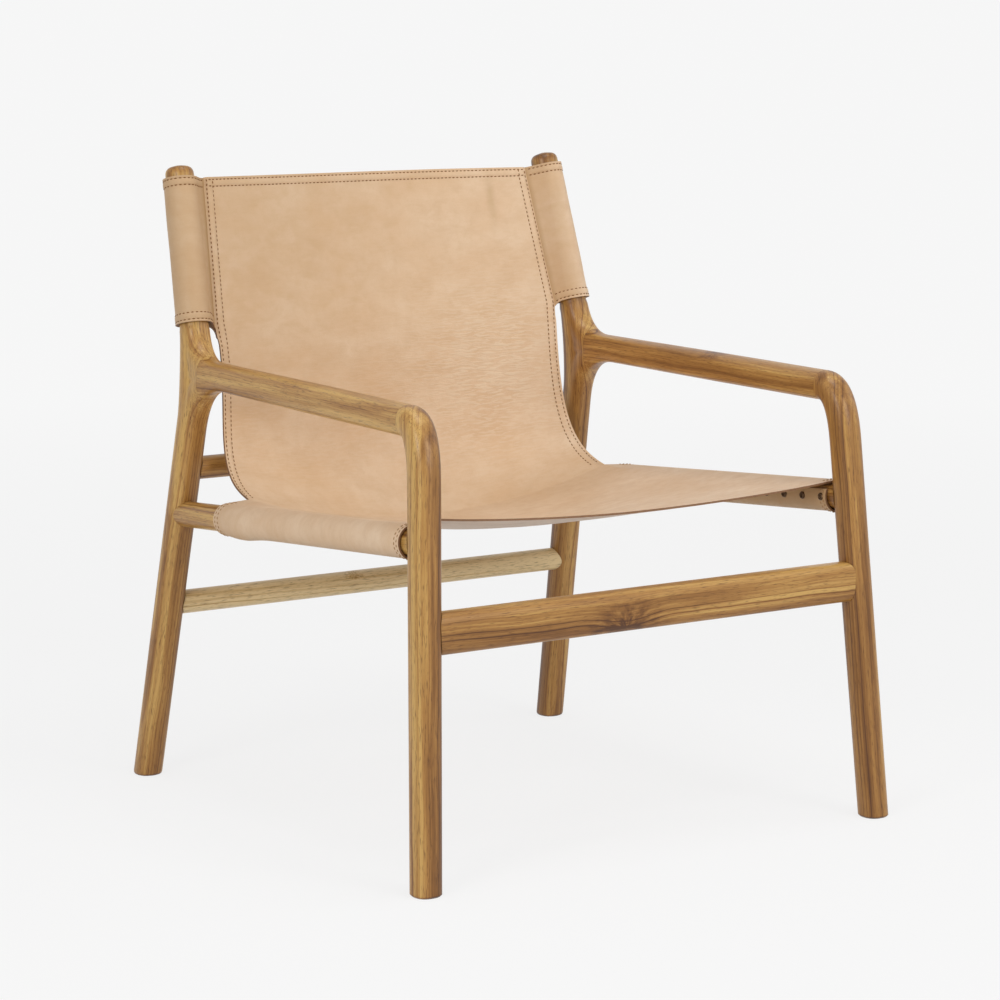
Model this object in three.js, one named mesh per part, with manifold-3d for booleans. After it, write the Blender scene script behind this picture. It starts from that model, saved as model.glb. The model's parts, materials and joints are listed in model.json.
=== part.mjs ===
// A leather sling lounge chair: a glued frame of round-edged teak with one thick hide slung through it.
// Millimetres, +Z up, the front faces -Y. Left and right are as seen from the front, so left is -X.
// The origin lies on the floor, under the middle of the chair.
import * as THREE from 'three';
import { mergeVertices } from 'three/addons/utils/BufferGeometryUtils.js';
import Module from 'manifold-3d';

const wasm = await Module();
wasm.setup();

// Stance of the frame, measured on the axes of the timbers
const FOOT_SPAN = 685; // front feet to rear feet
const FRONT_FOOT_SPREAD = 647;
const REAR_FOOT_SPREAD = 627;
const ELBOW_SPREAD = 595;
const ELBOW_SETBACK = 42; // the elbow lies this far behind the front foot
const ELBOW_HEIGHT = 524;
const BEND_SPREAD = 579;
const BEND_ADVANCE = 108; // the rear leg's bend lies this far ahead of its foot
const BEND_HEIGHT = 529;
const POST_SPREAD = 550;
const POST_RAKE = 68; // the post's top lies this far behind the bend
const POST_HEIGHT = 778;

// Timber sections
const TIMBER = 35; // legs, arms and elbows where they meet
const FOOT_DIAMETER = 33;
const POST_DIAMETER = 34;
const ROUND = 2; // power of a true round section
const SQUARENESS = 2.4; // power of the legs' and arms' sections, a little squarer
const FOOT_CHAMFER = 2.5;
const POST_DOME = 9; // length over which the post's top is rounded
const DOME_STEPS = [[1, 1], [1 / 3, 0.9], [0, 0.62]]; // share of that length left, share of the diameter
const ELBOW_REACH = 62; // the elbow starts to bend this far below its corner
const ELBOW_SEAM = 32; // glue line behind the elbow's corner, where its bend ends
const BEND_REACH = 58; // the rear leg bends over this length on each side of its corner
const UPPER_BRANCH = 44; // the arm branches into the post over this length on each side of their corner
const LOWER_BRANCH = 62; // and into the leg below over this length
const BRANCH_EASE = 0.2; // the branches are this much thinner, to lie inside the straight timbers
const ARM_SEAM = 28; // glue line ahead of the rear leg's axis

// Rails and stretchers, with the heights where their axes meet the leg's axis
const SIDE_RAIL_DIAMETER = 32.5;
const SIDE_RAIL_FRONT_HEIGHT = 392.5;
const SIDE_RAIL_REAR_HEIGHT = 347;
const FRONT_STRETCHER_HEIGHT = 290;
const FRONT_STRETCHER_DEPTH = 45;
const FRONT_STRETCHER_THICKNESS = 30;
const REAR_STRETCHER_HEIGHT = 229;
const REAR_STRETCHER_DIAMETER = 28;
const REAR_RAIL_RISE = 58; // above the side rails
const REAR_RAIL_DIAMETER = 29;

// Joinery
const JOINT_GAP = 0.3; // glue line left between timbers
const TENON_DIAMETER = 16;
const TENON_PAST_AXIS = 5; // depth of a tenon beyond the leg's axis
const TENON_ROOT = 14; // length of a tenon's root inside its rail, past the leg's face
const DOWEL_DIAMETER = 8;
const DOWEL_LENGTH = 36;
const ELBOW_DOWEL_PITCH = 16;
const ARM_DOWEL_PITCH = 26;

// The hide and its fixings
const HIDE = 2.4; // thickness of the leather
const HIDE_GAP = 0.4; // slack between leather and timber, or between two layers
const WRAP_START = 22; // from the front leg's axis, along the rail
const WRAP_END = 124; // from the rear leg's axis, along the rail
const FLAP_RISE = 9; // the flap's upper edge above the rail's axis
const SHOULDER = 31; // width of seat between the rail's axis and the line of the back's edge
const FRONT_SAG = 12.5;
const SEAT_SAG = 44; // where the wraps end
const BACK_BOW = 15; // depth of the back's hollow
const SAG_FADE = 2.2; // how soon the sag fades on its way up the back
const EDGE_DROP = 6; // the seat's side dips this far below the top of the rail
const HEM_LIFT = 2; // and rises this far above it where the wrap ends
const HEEL_REACH = 104; // pull of the free edge back from the wrap
const HEEL_RISE = 18;
const WAIST_DROP = 97; // pull of the free edge down from the sleeve
const WAIST_LEAN = 24;
const WAIST_PINCH = 4;
const PANEL_INSET = 33.5; // the panel's edge from the post's axis
const SLEEVE_LAP = 17; // the sleeve's tab under the panel
const SLEEVE_CLEAR = 2; // the sleeve's lower edge above the bend and the arm's branch
const POST_PROUD = 15; // post showing above the sleeve
const SCREW_PITCH = 35;
const SCREW_INSET = 9; // first screw from the end of the wrap
const SCREW_HEAD_DIAMETER = 8;
const SCREW_HEAD_RISE = 1.8;
const SCREW_CROWN = [0.8, 0.7]; // share of the head's width and rise where its crown turns over
const SCREW_SHANK_DIAMETER = 3.4;
const SCREW_BITE = 14; // shank inside the rail

// Faceting
const TIMBER_SIDES = 16;
const RAIL_SIDES = 16;
const TENON_SIDES = 12;
const HOLE_SIDES = 6;
const SCREW_SIDES = 8;
const ELBOW_STEPS = 7;
const BEND_STEPS = 6;
const BRANCH_STEPS = 8;
const SLEEVE_ARC_STEPS = 14;
const SEAT_ROWS = 5;
const HEEL_ROWS = 7;
const PANEL_COLUMNS = 10;
const WRAP_COLUMNS = 12;

// Materials
const teak = { color: 0xa97c4a, roughness: 0.55, metalness: 0 };
const paleTeak = { color: 0xbd955f, roughness: 0.55, metalness: 0 };
const leather = { color: 0xd2ac84, roughness: 0.6, metalness: 0 };
const bronze = { color: 0x3b2f26, roughness: 0.45, metalness: 0.8 };

const UP = new THREE.Vector3(0, 0, 1);
const SIDES = { left: -1, right: 1 };
const chair = new THREE.Group();

// Solids and meshes

function solid(geometry) {
  const plain = geometry.clone();
  plain.deleteAttribute('normal');
  plain.deleteAttribute('uv');
  const merged = mergeVertices(plain, 1e-3);
  const vertProperties = new Float32Array(merged.attributes.position.array);
  const triVerts = new Uint32Array(merged.index.array);
  return new wasm.Manifold(new wasm.Mesh({ numProp: 3, vertProperties, triVerts }));
}

function skin(body) {
  const mesh = body.getMesh();
  const geometry = new THREE.BufferGeometry();
  geometry.setAttribute('position', new THREE.BufferAttribute(mesh.vertProperties, 3));
  geometry.setIndex(new THREE.BufferAttribute(mesh.triVerts, 1));
  return geometry;
}

function addPart(name, geometry, finish) {
  const mesh = new THREE.Mesh(geometry, new THREE.MeshStandardMaterial(finish));
  mesh.name = name;
  chair.add(mesh);
  return mesh;
}

function turnOutward(geometry) {
  const position = geometry.attributes.position;
  const index = geometry.index.array;
  const [a, b, c] = [new THREE.Vector3(), new THREE.Vector3(), new THREE.Vector3()];
  let volume = 0;
  for (let i = 0; i < index.length; i += 3) {
    a.fromBufferAttribute(position, index[i]);
    b.fromBufferAttribute(position, index[i + 1]);
    c.fromBufferAttribute(position, index[i + 2]);
    volume += a.dot(b.cross(c));
  }
  if (volume > 0) return geometry;
  for (let i = 0; i < index.length; i += 3) {
    [index[i], index[i + 1]] = [index[i + 1], index[i]];
  }
  return geometry;
}

// A rounded section, given by half its width and half its height
function section(halfWidth, halfHeight, power) {
  const bulge = (value) => Math.sign(value) * Math.abs(value) ** (2 / power);
  return (angle) => [halfWidth * bulge(Math.cos(angle)), halfHeight * bulge(Math.sin(angle))];
}

// Skins a row of stations, each a centre, two axes and a section, with an optional trim for its points
function sweep(stations, sides) {
  const last = stations.length - 1;
  const geometry = new THREE.CylinderGeometry(1, 1, 1, sides, last, false, Math.PI / sides);
  const position = geometry.attributes.position;
  const point = new THREE.Vector3();
  for (let i = 0; i < position.count; i += 1) {
    const station = stations[Math.round((position.getY(i) + 0.5) * last)];
    const rim = Math.hypot(position.getX(i), position.getZ(i));
    const [wide, high] = station.outline(Math.atan2(position.getZ(i), position.getX(i)));
    point.copy(station.centre).addScaledVector(station.across, wide * rim);
    point.addScaledVector(station.lift, high * rim);
    if (station.trim) station.trim(point);
    position.setXYZ(i, point.x, point.y, point.z);
  }
  return turnOutward(geometry);
}

// A straight bar from one point to another
function bar(from, to, outline, sides) {
  const along = to.clone().sub(from).normalize();
  const across = along.clone().cross(UP).normalize();
  const lift = across.clone().cross(along);
  return sweep([from, to].map((centre) => ({ centre, across, lift, outline })), sides);
}

function roundBar(from, to, radius, sides) {
  return bar(from, to, section(radius, radius, ROUND), sides);
}

// A corner rounded from one reach before it to another after it
function roundedCorner(before, corner, after, reachBefore, reachAfter) {
  const toward = (end, reach) => corner.clone().addScaledVector(end.clone().sub(corner).normalize(), reach);
  return new THREE.QuadraticBezierCurve3(toward(before, reachBefore), corner, toward(after, reachAfter));
}

// The frame's setting out

function settingOut(side) {
  const at = (spread, y, z) => new THREE.Vector3(side * spread / 2, y, z);
  const frontFoot = at(FRONT_FOOT_SPREAD, -FOOT_SPAN / 2, 0);
  const elbow = at(ELBOW_SPREAD, ELBOW_SETBACK - FOOT_SPAN / 2, ELBOW_HEIGHT);
  const rearFoot = at(REAR_FOOT_SPREAD, FOOT_SPAN / 2, 0);
  const bend = at(BEND_SPREAD, FOOT_SPAN / 2 - BEND_ADVANCE, BEND_HEIGHT);
  const postTop = at(POST_SPREAD, bend.y + POST_RAKE, POST_HEIGHT);
  const frontAt = (z) => frontFoot.clone().lerp(elbow, z / ELBOW_HEIGHT);
  const rearAt = (z) => rearFoot.clone().lerp(bend, z / BEND_HEIGHT);
  const armAlong = bend.clone().sub(elbow).normalize();
  const plane = armAlong.clone().cross(elbow.clone().sub(frontFoot)).normalize();
  return { side, frontFoot, elbow, rearFoot, bend, postTop, frontAt, rearAt, armAlong, plane };
}

const frames = { left: settingOut(SIDES.left), right: settingOut(SIDES.right) };

// Slides a point along an axis to a level above the floor
function toLevel(axis, level) {
  return (point) => point.addScaledVector(axis, (level - point.z) / axis.z);
}

// A cross-section of a timber that lies in the frame's own plane
function timberStation(frame, centre, along, diameter, power = SQUARENESS) {
  const across = frame.plane.clone();
  const lift = across.clone().cross(along);
  return { centre, across, lift, outline: section(diameter / 2, diameter / 2, power) };
}

function curveStations(frame, curve, steps, diameter, endPower = SQUARENESS) {
  return Array.from({ length: steps + 1 }, (_, i) => {
    const t = i / steps;
    const power = THREE.MathUtils.lerp(SQUARENESS, endPower, t);
    return timberStation(frame, curve.getPoint(t), curve.getTangent(t), diameter, power);
  });
}

// A foot's chamfered end, level with the floor
function footStations(frame, foot, toward, grow) {
  const along = toward.clone().sub(foot).normalize();
  const level = (height, diameter) => {
    return { ...timberStation(frame, foot, along, diameter + grow), trim: toLevel(along, height) };
  };
  return [level(0, FOOT_DIAMETER - 2 * FOOT_CHAMFER), level(FOOT_CHAMFER, FOOT_DIAMETER)];
}

// Front legs, each with its elbow worked from the same timber

function frontLeg(frame, grow) {
  const elbow = roundedCorner(frame.frontFoot, frame.elbow, frame.bend, ELBOW_REACH, ELBOW_SEAM - JOINT_GAP);
  const stations = [
    ...footStations(frame, frame.frontFoot, frame.elbow, grow),
    ...curveStations(frame, elbow, ELBOW_STEPS, TIMBER + grow),
  ];
  return solid(sweep(stations, TIMBER_SIDES));
}

// Rear legs: one bent timber from the floor to the post's domed top

function rearLeg(frame, grow) {
  const bend = roundedCorner(frame.rearFoot, frame.bend, frame.postTop, BEND_REACH, BEND_REACH);
  const post = frame.postTop.clone().sub(frame.bend).normalize();
  const dome = DOME_STEPS.map(([left, share]) => {
    const centre = frame.postTop.clone().addScaledVector(post, -left * POST_DOME);
    return timberStation(frame, centre, post, POST_DIAMETER * share + grow, ROUND);
  });
  const stations = [
    ...footStations(frame, frame.rearFoot, frame.bend, grow),
    ...curveStations(frame, bend, BEND_STEPS, TIMBER + grow, ROUND),
    ...dome,
  ];
  return solid(sweep(stations, TIMBER_SIDES));
}

// Arms: straight from the elbow, then branching up into the post and down into the leg

function arm(frame) {
  const from = frame.elbow.clone().addScaledVector(frame.armAlong, ELBOW_SEAM);
  const straight = [from, frame.bend].map((centre) => timberStation(frame, centre, frame.armAlong, TIMBER));
  const branch = (end, reach) => {
    const curve = roundedCorner(frame.elbow, frame.bend, end, reach, reach);
    return solid(sweep(curveStations(frame, curve, BRANCH_STEPS, TIMBER - BRANCH_EASE), TIMBER_SIDES));
  };
  return solid(sweep(straight, TIMBER_SIDES))
    .add(branch(frame.postTop, UPPER_BRANCH))
    .add(branch(frame.rearFoot, LOWER_BRANCH));
}

// Keeps what lies behind the glue line between arm and rear leg, or what lies ahead of it
function cutAtSeam(body, frame, behind) {
  const seam = frame.bend.clone().addScaledVector(frame.armAlong, -ARM_SEAM);
  const kept = frame.armAlong.clone().multiplyScalar(behind ? 1 : -1);
  return body.trimByPlane(kept.toArray(), kept.dot(seam) + JOINT_GAP / 2);
}

// Dowels across the two glue lines of an arm, as pairs of end points

function dowelEnds(frame) {
  const lift = frame.plane.clone().cross(frame.armAlong);
  if (lift.z < 0) lift.negate();
  const pair = (middle, pitch) => [pitch / 2, -pitch / 2].map((rise) => {
    const centre = middle.clone().addScaledVector(lift, rise);
    const end = (sign) => centre.clone().addScaledVector(frame.armAlong, sign * DOWEL_LENGTH / 2);
    return [end(-1), end(1)];
  });
  const elbowSeam = frame.elbow.clone().addScaledVector(frame.armAlong, ELBOW_SEAM);
  const rearSeam = frame.bend.clone().addScaledVector(frame.armAlong, -ARM_SEAM);
  return { elbow: pair(elbowSeam, ELBOW_DOWEL_PITCH), arm: pair(rearSeam, ARM_DOWEL_PITCH) };
}

// Lengthens a run at both ends
function stretched([from, to], extra) {
  const along = to.clone().sub(from).normalize();
  return [from.clone().addScaledVector(along, -extra), to.clone().addScaledVector(along, extra)];
}

function hole(ends, diameter, sides) {
  const [from, to] = stretched(ends, JOINT_GAP);
  return solid(roundBar(from, to, diameter / 2 + JOINT_GAP, sides));
}

// Rails and stretchers: coped over the legs, with a round tenon at each end

function tenons(ends) {
  const [from, to] = ends;
  const along = to.clone().sub(from).normalize();
  const tip = -TENON_PAST_AXIS;
  const root = TIMBER / 2 + TENON_ROOT;
  return [
    [from.clone().addScaledVector(along, tip), from.clone().addScaledVector(along, root)],
    [to.clone().addScaledVector(along, -tip), to.clone().addScaledVector(along, -root)],
  ];
}

function rail(ends, outline, grownLegs) {
  let body = solid(bar(...ends, outline, RAIL_SIDES));
  for (const leg of grownLegs) body = body.subtract(leg);
  for (const tenon of tenons(ends)) {
    body = body.add(solid(roundBar(...tenon, TENON_DIAMETER / 2, TENON_SIDES)));
  }
  return body;
}

// The side rail's own axes: along it to the rear, up, and in towards the middle of the chair

function railFrame(frame) {
  const from = frame.frontAt(SIDE_RAIL_FRONT_HEIGHT);
  const to = frame.rearAt(SIDE_RAIL_REAR_HEIGHT);
  const along = to.clone().sub(from).normalize();
  const inward = UP.clone().cross(along).multiplyScalar(frame.side).normalize();
  const up = along.clone().cross(inward).multiplyScalar(frame.side);
  if (up.z < 0) up.negate();
  const wrapLength = from.distanceTo(to) - WRAP_START - WRAP_END;
  return { from, to, along, inward, up, wrapLength };
}

// Screws that hold the flap to the inner face of a side rail

const flapFace = SIDE_RAIL_DIAMETER / 2 + HIDE_GAP + HIDE; // outer face of the wrapped leather
const screwSeat = flapFace / Math.cos(Math.PI / WRAP_COLUMNS) + HIDE_GAP;

function screwPlaces(frame) {
  const axes = railFrame(frame);
  const count = Math.floor((axes.wrapLength - 2 * SCREW_INSET) / SCREW_PITCH) + 1;
  return Array.from({ length: count }, (_, i) => {
    const along = WRAP_START + SCREW_INSET + i * SCREW_PITCH;
    return axes.from.clone().addScaledVector(axes.along, along).addScaledVector(axes.inward, screwSeat);
  });
}

function screwHole(place, inward, extra) {
  const tip = place.clone().addScaledVector(inward, SIDE_RAIL_DIAMETER / 2 - screwSeat - SCREW_BITE);
  return hole([tip, place.clone().addScaledVector(inward, extra)], SCREW_SHANK_DIAMETER, HOLE_SIDES);
}

function screw() {
  const head = SCREW_HEAD_DIAMETER / 2;
  const shank = SCREW_SHANK_DIAMETER / 2;
  const tip = SIDE_RAIL_DIAMETER / 2 - screwSeat - SCREW_BITE;
  const [wide, high] = SCREW_CROWN;
  const shankProfile = [[0, tip], [shank, tip + shank], [shank, 0]];
  const headProfile = [[head, 0], [head * wide, SCREW_HEAD_RISE * high], [0, SCREW_HEAD_RISE]];
  const profile = [...shankProfile, ...headProfile].map(([x, y]) => new THREE.Vector2(x, y));
  return new THREE.LatheGeometry(profile, SCREW_SIDES);
}

// The post's sleeve: a loop of leather with a two-layer tab that is sewn behind the panel's edge

function postAxis(frame) {
  const along = frame.postTop.clone().sub(frame.bend);
  const length = along.length();
  along.normalize();
  const start = Math.max(UPPER_BRANCH, BEND_REACH) + SLEEVE_CLEAR;
  const end = length - POST_PROUD;
  const at = (distance) => frame.bend.clone().addScaledVector(along, distance);
  const inwardFlat = new THREE.Vector3(-frame.side, 0, 0);
  const back = along.clone().cross(inwardFlat).multiplyScalar(frame.side).normalize();
  if (back.y < 0) back.negate();
  const inward = back.clone().cross(along).normalize();
  if (inward.x * frame.side > 0) inward.negate();
  const slope = Math.atan(4 * BACK_BOW / (POST_SPREAD - 2 * PANEL_INSET));
  const tab = inward.clone().multiplyScalar(Math.cos(slope)).addScaledVector(back, Math.sin(slope));
  const front = inward.clone().multiplyScalar(Math.sin(slope)).addScaledVector(back, -Math.cos(slope));
  return { along, start, end, at, tab, front };
}

function sleeve(post) {
  const bore = TIMBER / 2 + HIDE_GAP;
  const outer = bore + HIDE;
  const meet = PANEL_INSET - HIDE;
  const lean = Math.acos(bore / meet);
  const reach = PANEL_INSET + SLEEVE_LAP;
  const loop = new THREE.Shape();
  loop.moveTo(reach, HIDE);
  loop.lineTo(meet, HIDE);
  loop.absarc(0, 0, outer, lean, 2 * Math.PI - lean, false);
  loop.lineTo(meet, -HIDE);
  loop.lineTo(reach, -HIDE);
  const mouth = new THREE.Path();
  mouth.absarc(0, 0, bore, lean, 2 * Math.PI - lean, false);
  mouth.lineTo(meet, 0);
  loop.holes.push(mouth);
  const depth = post.end - post.start;
  const curveSegments = SLEEVE_ARC_STEPS;
  return new THREE.ExtrudeGeometry(loop, { depth, steps: 1, bevelEnabled: false, curveSegments });
}

// The hide: seat, back and the wraps round the side rails, cut in one piece
// Each row runs across the chair, from the seat's front edge to the top of the back

function hideRows() {
  const axes = railFrame(frames.right);
  const post = postAxis(frames.right);
  const step = (2 * Math.PI) / WRAP_COLUMNS;
  const middle = (SIDE_RAIL_DIAMETER / 2 + HIDE_GAP) / Math.cos(step / 2) + HIDE / 2;
  const rows = [];
  for (let i = 0; i <= SEAT_ROWS; i += 1) {
    const t = i / SEAT_ROWS;
    const axis = axes.from.clone().addScaledVector(axes.along, WRAP_START + t * axes.wrapLength);
    const rise = middle - EDGE_DROP * Math.sin(Math.PI * t) + HEM_LIFT * t * t;
    const edge = axis.clone().addScaledVector(axes.inward, SHOULDER).addScaledVector(axes.up, rise);
    const sag = FRONT_SAG + (SEAT_SAG - FRONT_SAG) * Math.sin(Math.PI * t / 2);
    rows.push({ edge, sag, wrap: { axis, rise, axes, middle } });
  }
  const panelAt = (distance) => post.at(distance)
    .addScaledVector(post.tab, PANEL_INSET)
    .addScaledVector(post.front, HIDE + HIDE_GAP + HIDE / 2);
  const hem = rows[SEAT_ROWS].edge;
  const neck = panelAt(post.start);
  const edge = new THREE.CubicBezierCurve3(
    hem,
    new THREE.Vector3(hem.x, hem.y + HEEL_REACH, hem.z + HEEL_RISE),
    new THREE.Vector3(neck.x - WAIST_PINCH, neck.y - WAIST_LEAN, neck.z - WAIST_DROP),
    neck,
  );
  for (let i = 1; i <= HEEL_ROWS; i += 1) {
    const t = i / HEEL_ROWS;
    rows.push({ edge: edge.getPoint(t), sag: BACK_BOW + (SEAT_SAG - BACK_BOW) * (1 - t) ** SAG_FADE });
  }
  rows.push({ edge: panelAt(post.end), sag: BACK_BOW });
  return rows;
}

// Points of one row's wrap, from the seat's shoulder round the rail to the flap's edge
function wrapPoints({ axis, rise, axes, middle }) {
  const away = Math.hypot(SHOULDER, rise);
  const leave = Math.atan2(rise, SHOULDER) + Math.acos(middle / away);
  const finish = 2 * Math.PI + Math.asin(FLAP_RISE / middle);
  return Array.from({ length: WRAP_COLUMNS + 1 }, (_, i) => {
    const angle = THREE.MathUtils.lerp(leave, finish, i / WRAP_COLUMNS);
    return axis.clone()
      .addScaledVector(axes.inward, middle * Math.cos(angle))
      .addScaledVector(axes.up, middle * Math.sin(angle));
  });
}

// Turns a mesh of quads into a solid sheet of the hide's thickness
function sheet(points, quads) {
  const count = points.length;
  const surface = new THREE.BufferGeometry().setFromPoints(points);
  surface.setIndex(quads.flatMap(([a, b, c, d]) => [a, b, c, a, c, d]));
  surface.computeVertexNormals();
  const normal = surface.attributes.normal;
  const both = [HIDE / 2, -HIDE / 2].flatMap((offset) => points.map((point, i) => {
    return point.clone().addScaledVector(new THREE.Vector3().fromBufferAttribute(normal, i), offset);
  }));
  const rim = new Map();
  for (const quad of quads) {
    quad.forEach((a, i) => {
      const b = quad[(i + 1) % quad.length];
      if (!rim.delete(`${b} ${a}`)) rim.set(`${a} ${b}`, [a, b]);
    });
  }
  const index = quads.flatMap(([a, b, c, d]) => [
    a, b, c, a, c, d, a + count, c + count, b + count, a + count, d + count, c + count,
  ]);
  for (const [a, b] of rim.values()) index.push(a, a + count, b, b, a + count, b + count);
  const geometry = new THREE.BufferGeometry().setFromPoints(both);
  geometry.setIndex(index);
  return turnOutward(geometry);
}

function hide() {
  const rows = hideRows();
  const points = [];
  const quads = [];
  const place = (point) => points.push(point) - 1;
  const mirrored = (point) => new THREE.Vector3(-point.x, point.y, point.z);
  const grid = rows.map((row, i) => {
    const next = rows[Math.min(i + 1, rows.length - 1)].edge;
    const last = rows[Math.max(i - 1, 0)].edge;
    const along = new THREE.Vector2(next.y - last.y, next.z - last.z).normalize();
    const panel = Array.from({ length: PANEL_COLUMNS + 1 }, (_, k) => {
      const u = 2 * k / PANEL_COLUMNS - 1;
      const sink = row.sag * (1 - u * u);
      return new THREE.Vector3(u * row.edge.x, row.edge.y + along.y * sink, row.edge.z - along.x * sink);
    });
    if (!row.wrap) return panel.map(place);
    const right = wrapPoints(row.wrap);
    return [...right.map(mirrored).reverse(), ...panel, ...right].map(place);
  });
  grid.slice(1).forEach((row, i) => {
    const below = grid[i];
    const skip = (below.length - row.length) / 2;
    for (let k = 0; k + 1 < row.length; k += 1) {
      quads.push([below[k + skip], below[k + skip + 1], row[k + 1], row[k]]);
    }
  });
  return sheet(points, quads);
}

// Assembly

const cuts = {};
for (const [name, frame] of Object.entries(frames)) {
  cuts[name] = { front: frontLeg(frame, 2 * JOINT_GAP), rear: rearLeg(frame, 2 * JOINT_GAP) };
}

const acrossEnds = (at) => [at(frames.left), at(frames.right)];
const stretchers = {
  front_stretcher: {
    ends: acrossEnds((frame) => frame.frontAt(FRONT_STRETCHER_HEIGHT)),
    outline: section(FRONT_STRETCHER_THICKNESS / 2, FRONT_STRETCHER_DEPTH / 2, SQUARENESS),
    leg: 'front',
    finish: teak,
  },
  rear_stretcher: {
    ends: acrossEnds((frame) => frame.rearAt(REAR_STRETCHER_HEIGHT)),
    outline: section(REAR_STRETCHER_DIAMETER / 2, REAR_STRETCHER_DIAMETER / 2, ROUND),
    leg: 'rear',
    finish: paleTeak,
  },
  rear_rail: {
    ends: acrossEnds((frame) => frame.rearAt(SIDE_RAIL_REAR_HEIGHT + REAR_RAIL_RISE)),
    outline: section(REAR_RAIL_DIAMETER / 2, REAR_RAIL_DIAMETER / 2, ROUND),
    leg: 'rear',
    finish: teak,
  },
};

for (const [name, piece] of Object.entries(stretchers)) {
  const legs = [cuts.left[piece.leg], cuts.right[piece.leg]];
  addPart(name, skin(rail(piece.ends, piece.outline, legs)), piece.finish);
}

let hideBody = solid(hide());

for (const [name, frame] of Object.entries(frames)) {
  const axes = railFrame(frame);
  const railEnds = [axes.from, axes.to];
  const dowels = dowelEnds(frame);
  const dowelHoles = (ends) => ends.map((pair) => hole(pair, DOWEL_DIAMETER, TENON_SIDES));
  const mortise = (ends, end) => hole(tenons(ends)[end], TENON_DIAMETER, TENON_SIDES);
  const across = name === 'left' ? 0 : 1;

  let front = frontLeg(frame, 0);
  front = front.subtract(mortise(stretchers.front_stretcher.ends, across)).subtract(mortise(railEnds, 0));
  for (const cut of dowelHoles(dowels.elbow)) front = front.subtract(cut);
  addPart(`front_leg_${name}`, skin(front), teak);

  const armBody = arm(frame);
  let rear = cutAtSeam(rearLeg(frame, 0).add(armBody), frame, true);
  rear = rear.subtract(mortise(stretchers.rear_stretcher.ends, across));
  rear = rear.subtract(mortise(stretchers.rear_rail.ends, across)).subtract(mortise(railEnds, 1));
  for (const cut of dowelHoles(dowels.arm)) rear = rear.subtract(cut);
  addPart(`rear_leg_${name}`, skin(rear), teak);

  let rest = cutAtSeam(armBody, frame, false);
  for (const cut of dowelHoles([...dowels.elbow, ...dowels.arm])) rest = rest.subtract(cut);
  addPart(`arm_${name}`, skin(rest), teak);

  for (const [seam, ends] of Object.entries(dowels)) {
    ends.forEach((pair, i) => {
      const height = i === 0 ? 'upper' : 'lower';
      const dowel = roundBar(...pair, DOWEL_DIAMETER / 2, TENON_SIDES);
      addPart(`${seam}_dowel_${height}_${name}`, dowel, paleTeak);
    });
  }

  const railRadius = SIDE_RAIL_DIAMETER / 2;
  let sideRail = rail(railEnds, section(railRadius, railRadius, ROUND), [cuts[name].front, cuts[name].rear]);
  screwPlaces(frame).forEach((place, i) => {
    const pilot = screwHole(place, axes.inward, 0);
    sideRail = sideRail.subtract(pilot);
    hideBody = hideBody.subtract(pilot);
    const mesh = addPart(`flap_screw_${name}_${i + 1}`, screw(), bronze);
    mesh.position.copy(place);
    mesh.quaternion.setFromUnitVectors(new THREE.Vector3(0, 1, 0), axes.inward);
  });
  addPart(`side_rail_${name}`, skin(sideRail), teak);

  const post = postAxis(frame);
  const loop = addPart(`back_sleeve_${name}`, sleeve(post), leather);
  const upright = new THREE.Vector3().crossVectors(post.along, post.tab);
  loop.quaternion.setFromRotationMatrix(new THREE.Matrix4().makeBasis(post.tab, upright, post.along));
  loop.position.copy(post.at(post.start));
}

addPart('hide', skin(hideBody), leather);

// The origin goes under the middle of the chair's own box
const box = new THREE.Box3().setFromObject(chair, true);
chair.position.y = -(box.min.y + box.max.y) / 2;

export default chair;
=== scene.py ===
"""The looks of a low lounge chair: a glued frame of round-edged teak with one thick hide slung through it.

Metres, +Z up, the front faces -Y. Left and right are as seen from the front, so left is -X.
"""

import json
import math
from collections import namedtuple
from functools import partial
from types import SimpleNamespace

import bmesh
import bpy
from mathutils import Matrix, Vector, noise

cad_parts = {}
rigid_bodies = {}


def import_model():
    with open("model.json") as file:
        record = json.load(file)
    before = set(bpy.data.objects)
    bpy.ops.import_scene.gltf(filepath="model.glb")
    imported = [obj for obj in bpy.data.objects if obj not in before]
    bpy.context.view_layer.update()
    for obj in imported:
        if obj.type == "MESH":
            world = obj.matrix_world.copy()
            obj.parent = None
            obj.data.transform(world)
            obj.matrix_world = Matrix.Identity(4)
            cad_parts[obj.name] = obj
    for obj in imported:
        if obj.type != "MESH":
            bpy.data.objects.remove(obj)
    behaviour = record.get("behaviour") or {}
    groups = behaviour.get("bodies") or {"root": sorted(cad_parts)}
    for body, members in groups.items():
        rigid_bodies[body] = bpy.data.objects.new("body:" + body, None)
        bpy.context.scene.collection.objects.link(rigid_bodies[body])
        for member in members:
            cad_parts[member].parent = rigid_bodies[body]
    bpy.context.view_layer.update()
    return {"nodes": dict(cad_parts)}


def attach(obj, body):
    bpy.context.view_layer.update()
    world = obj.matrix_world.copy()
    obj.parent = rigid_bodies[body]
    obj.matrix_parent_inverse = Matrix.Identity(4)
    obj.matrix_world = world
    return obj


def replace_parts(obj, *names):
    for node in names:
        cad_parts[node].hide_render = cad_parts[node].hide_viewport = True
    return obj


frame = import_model()

MM = 0.001
UP = Vector((0, 0, 1))
REAR = Vector((0, 1, 0))
SIDES = {"left": -1, "right": 1}

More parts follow.
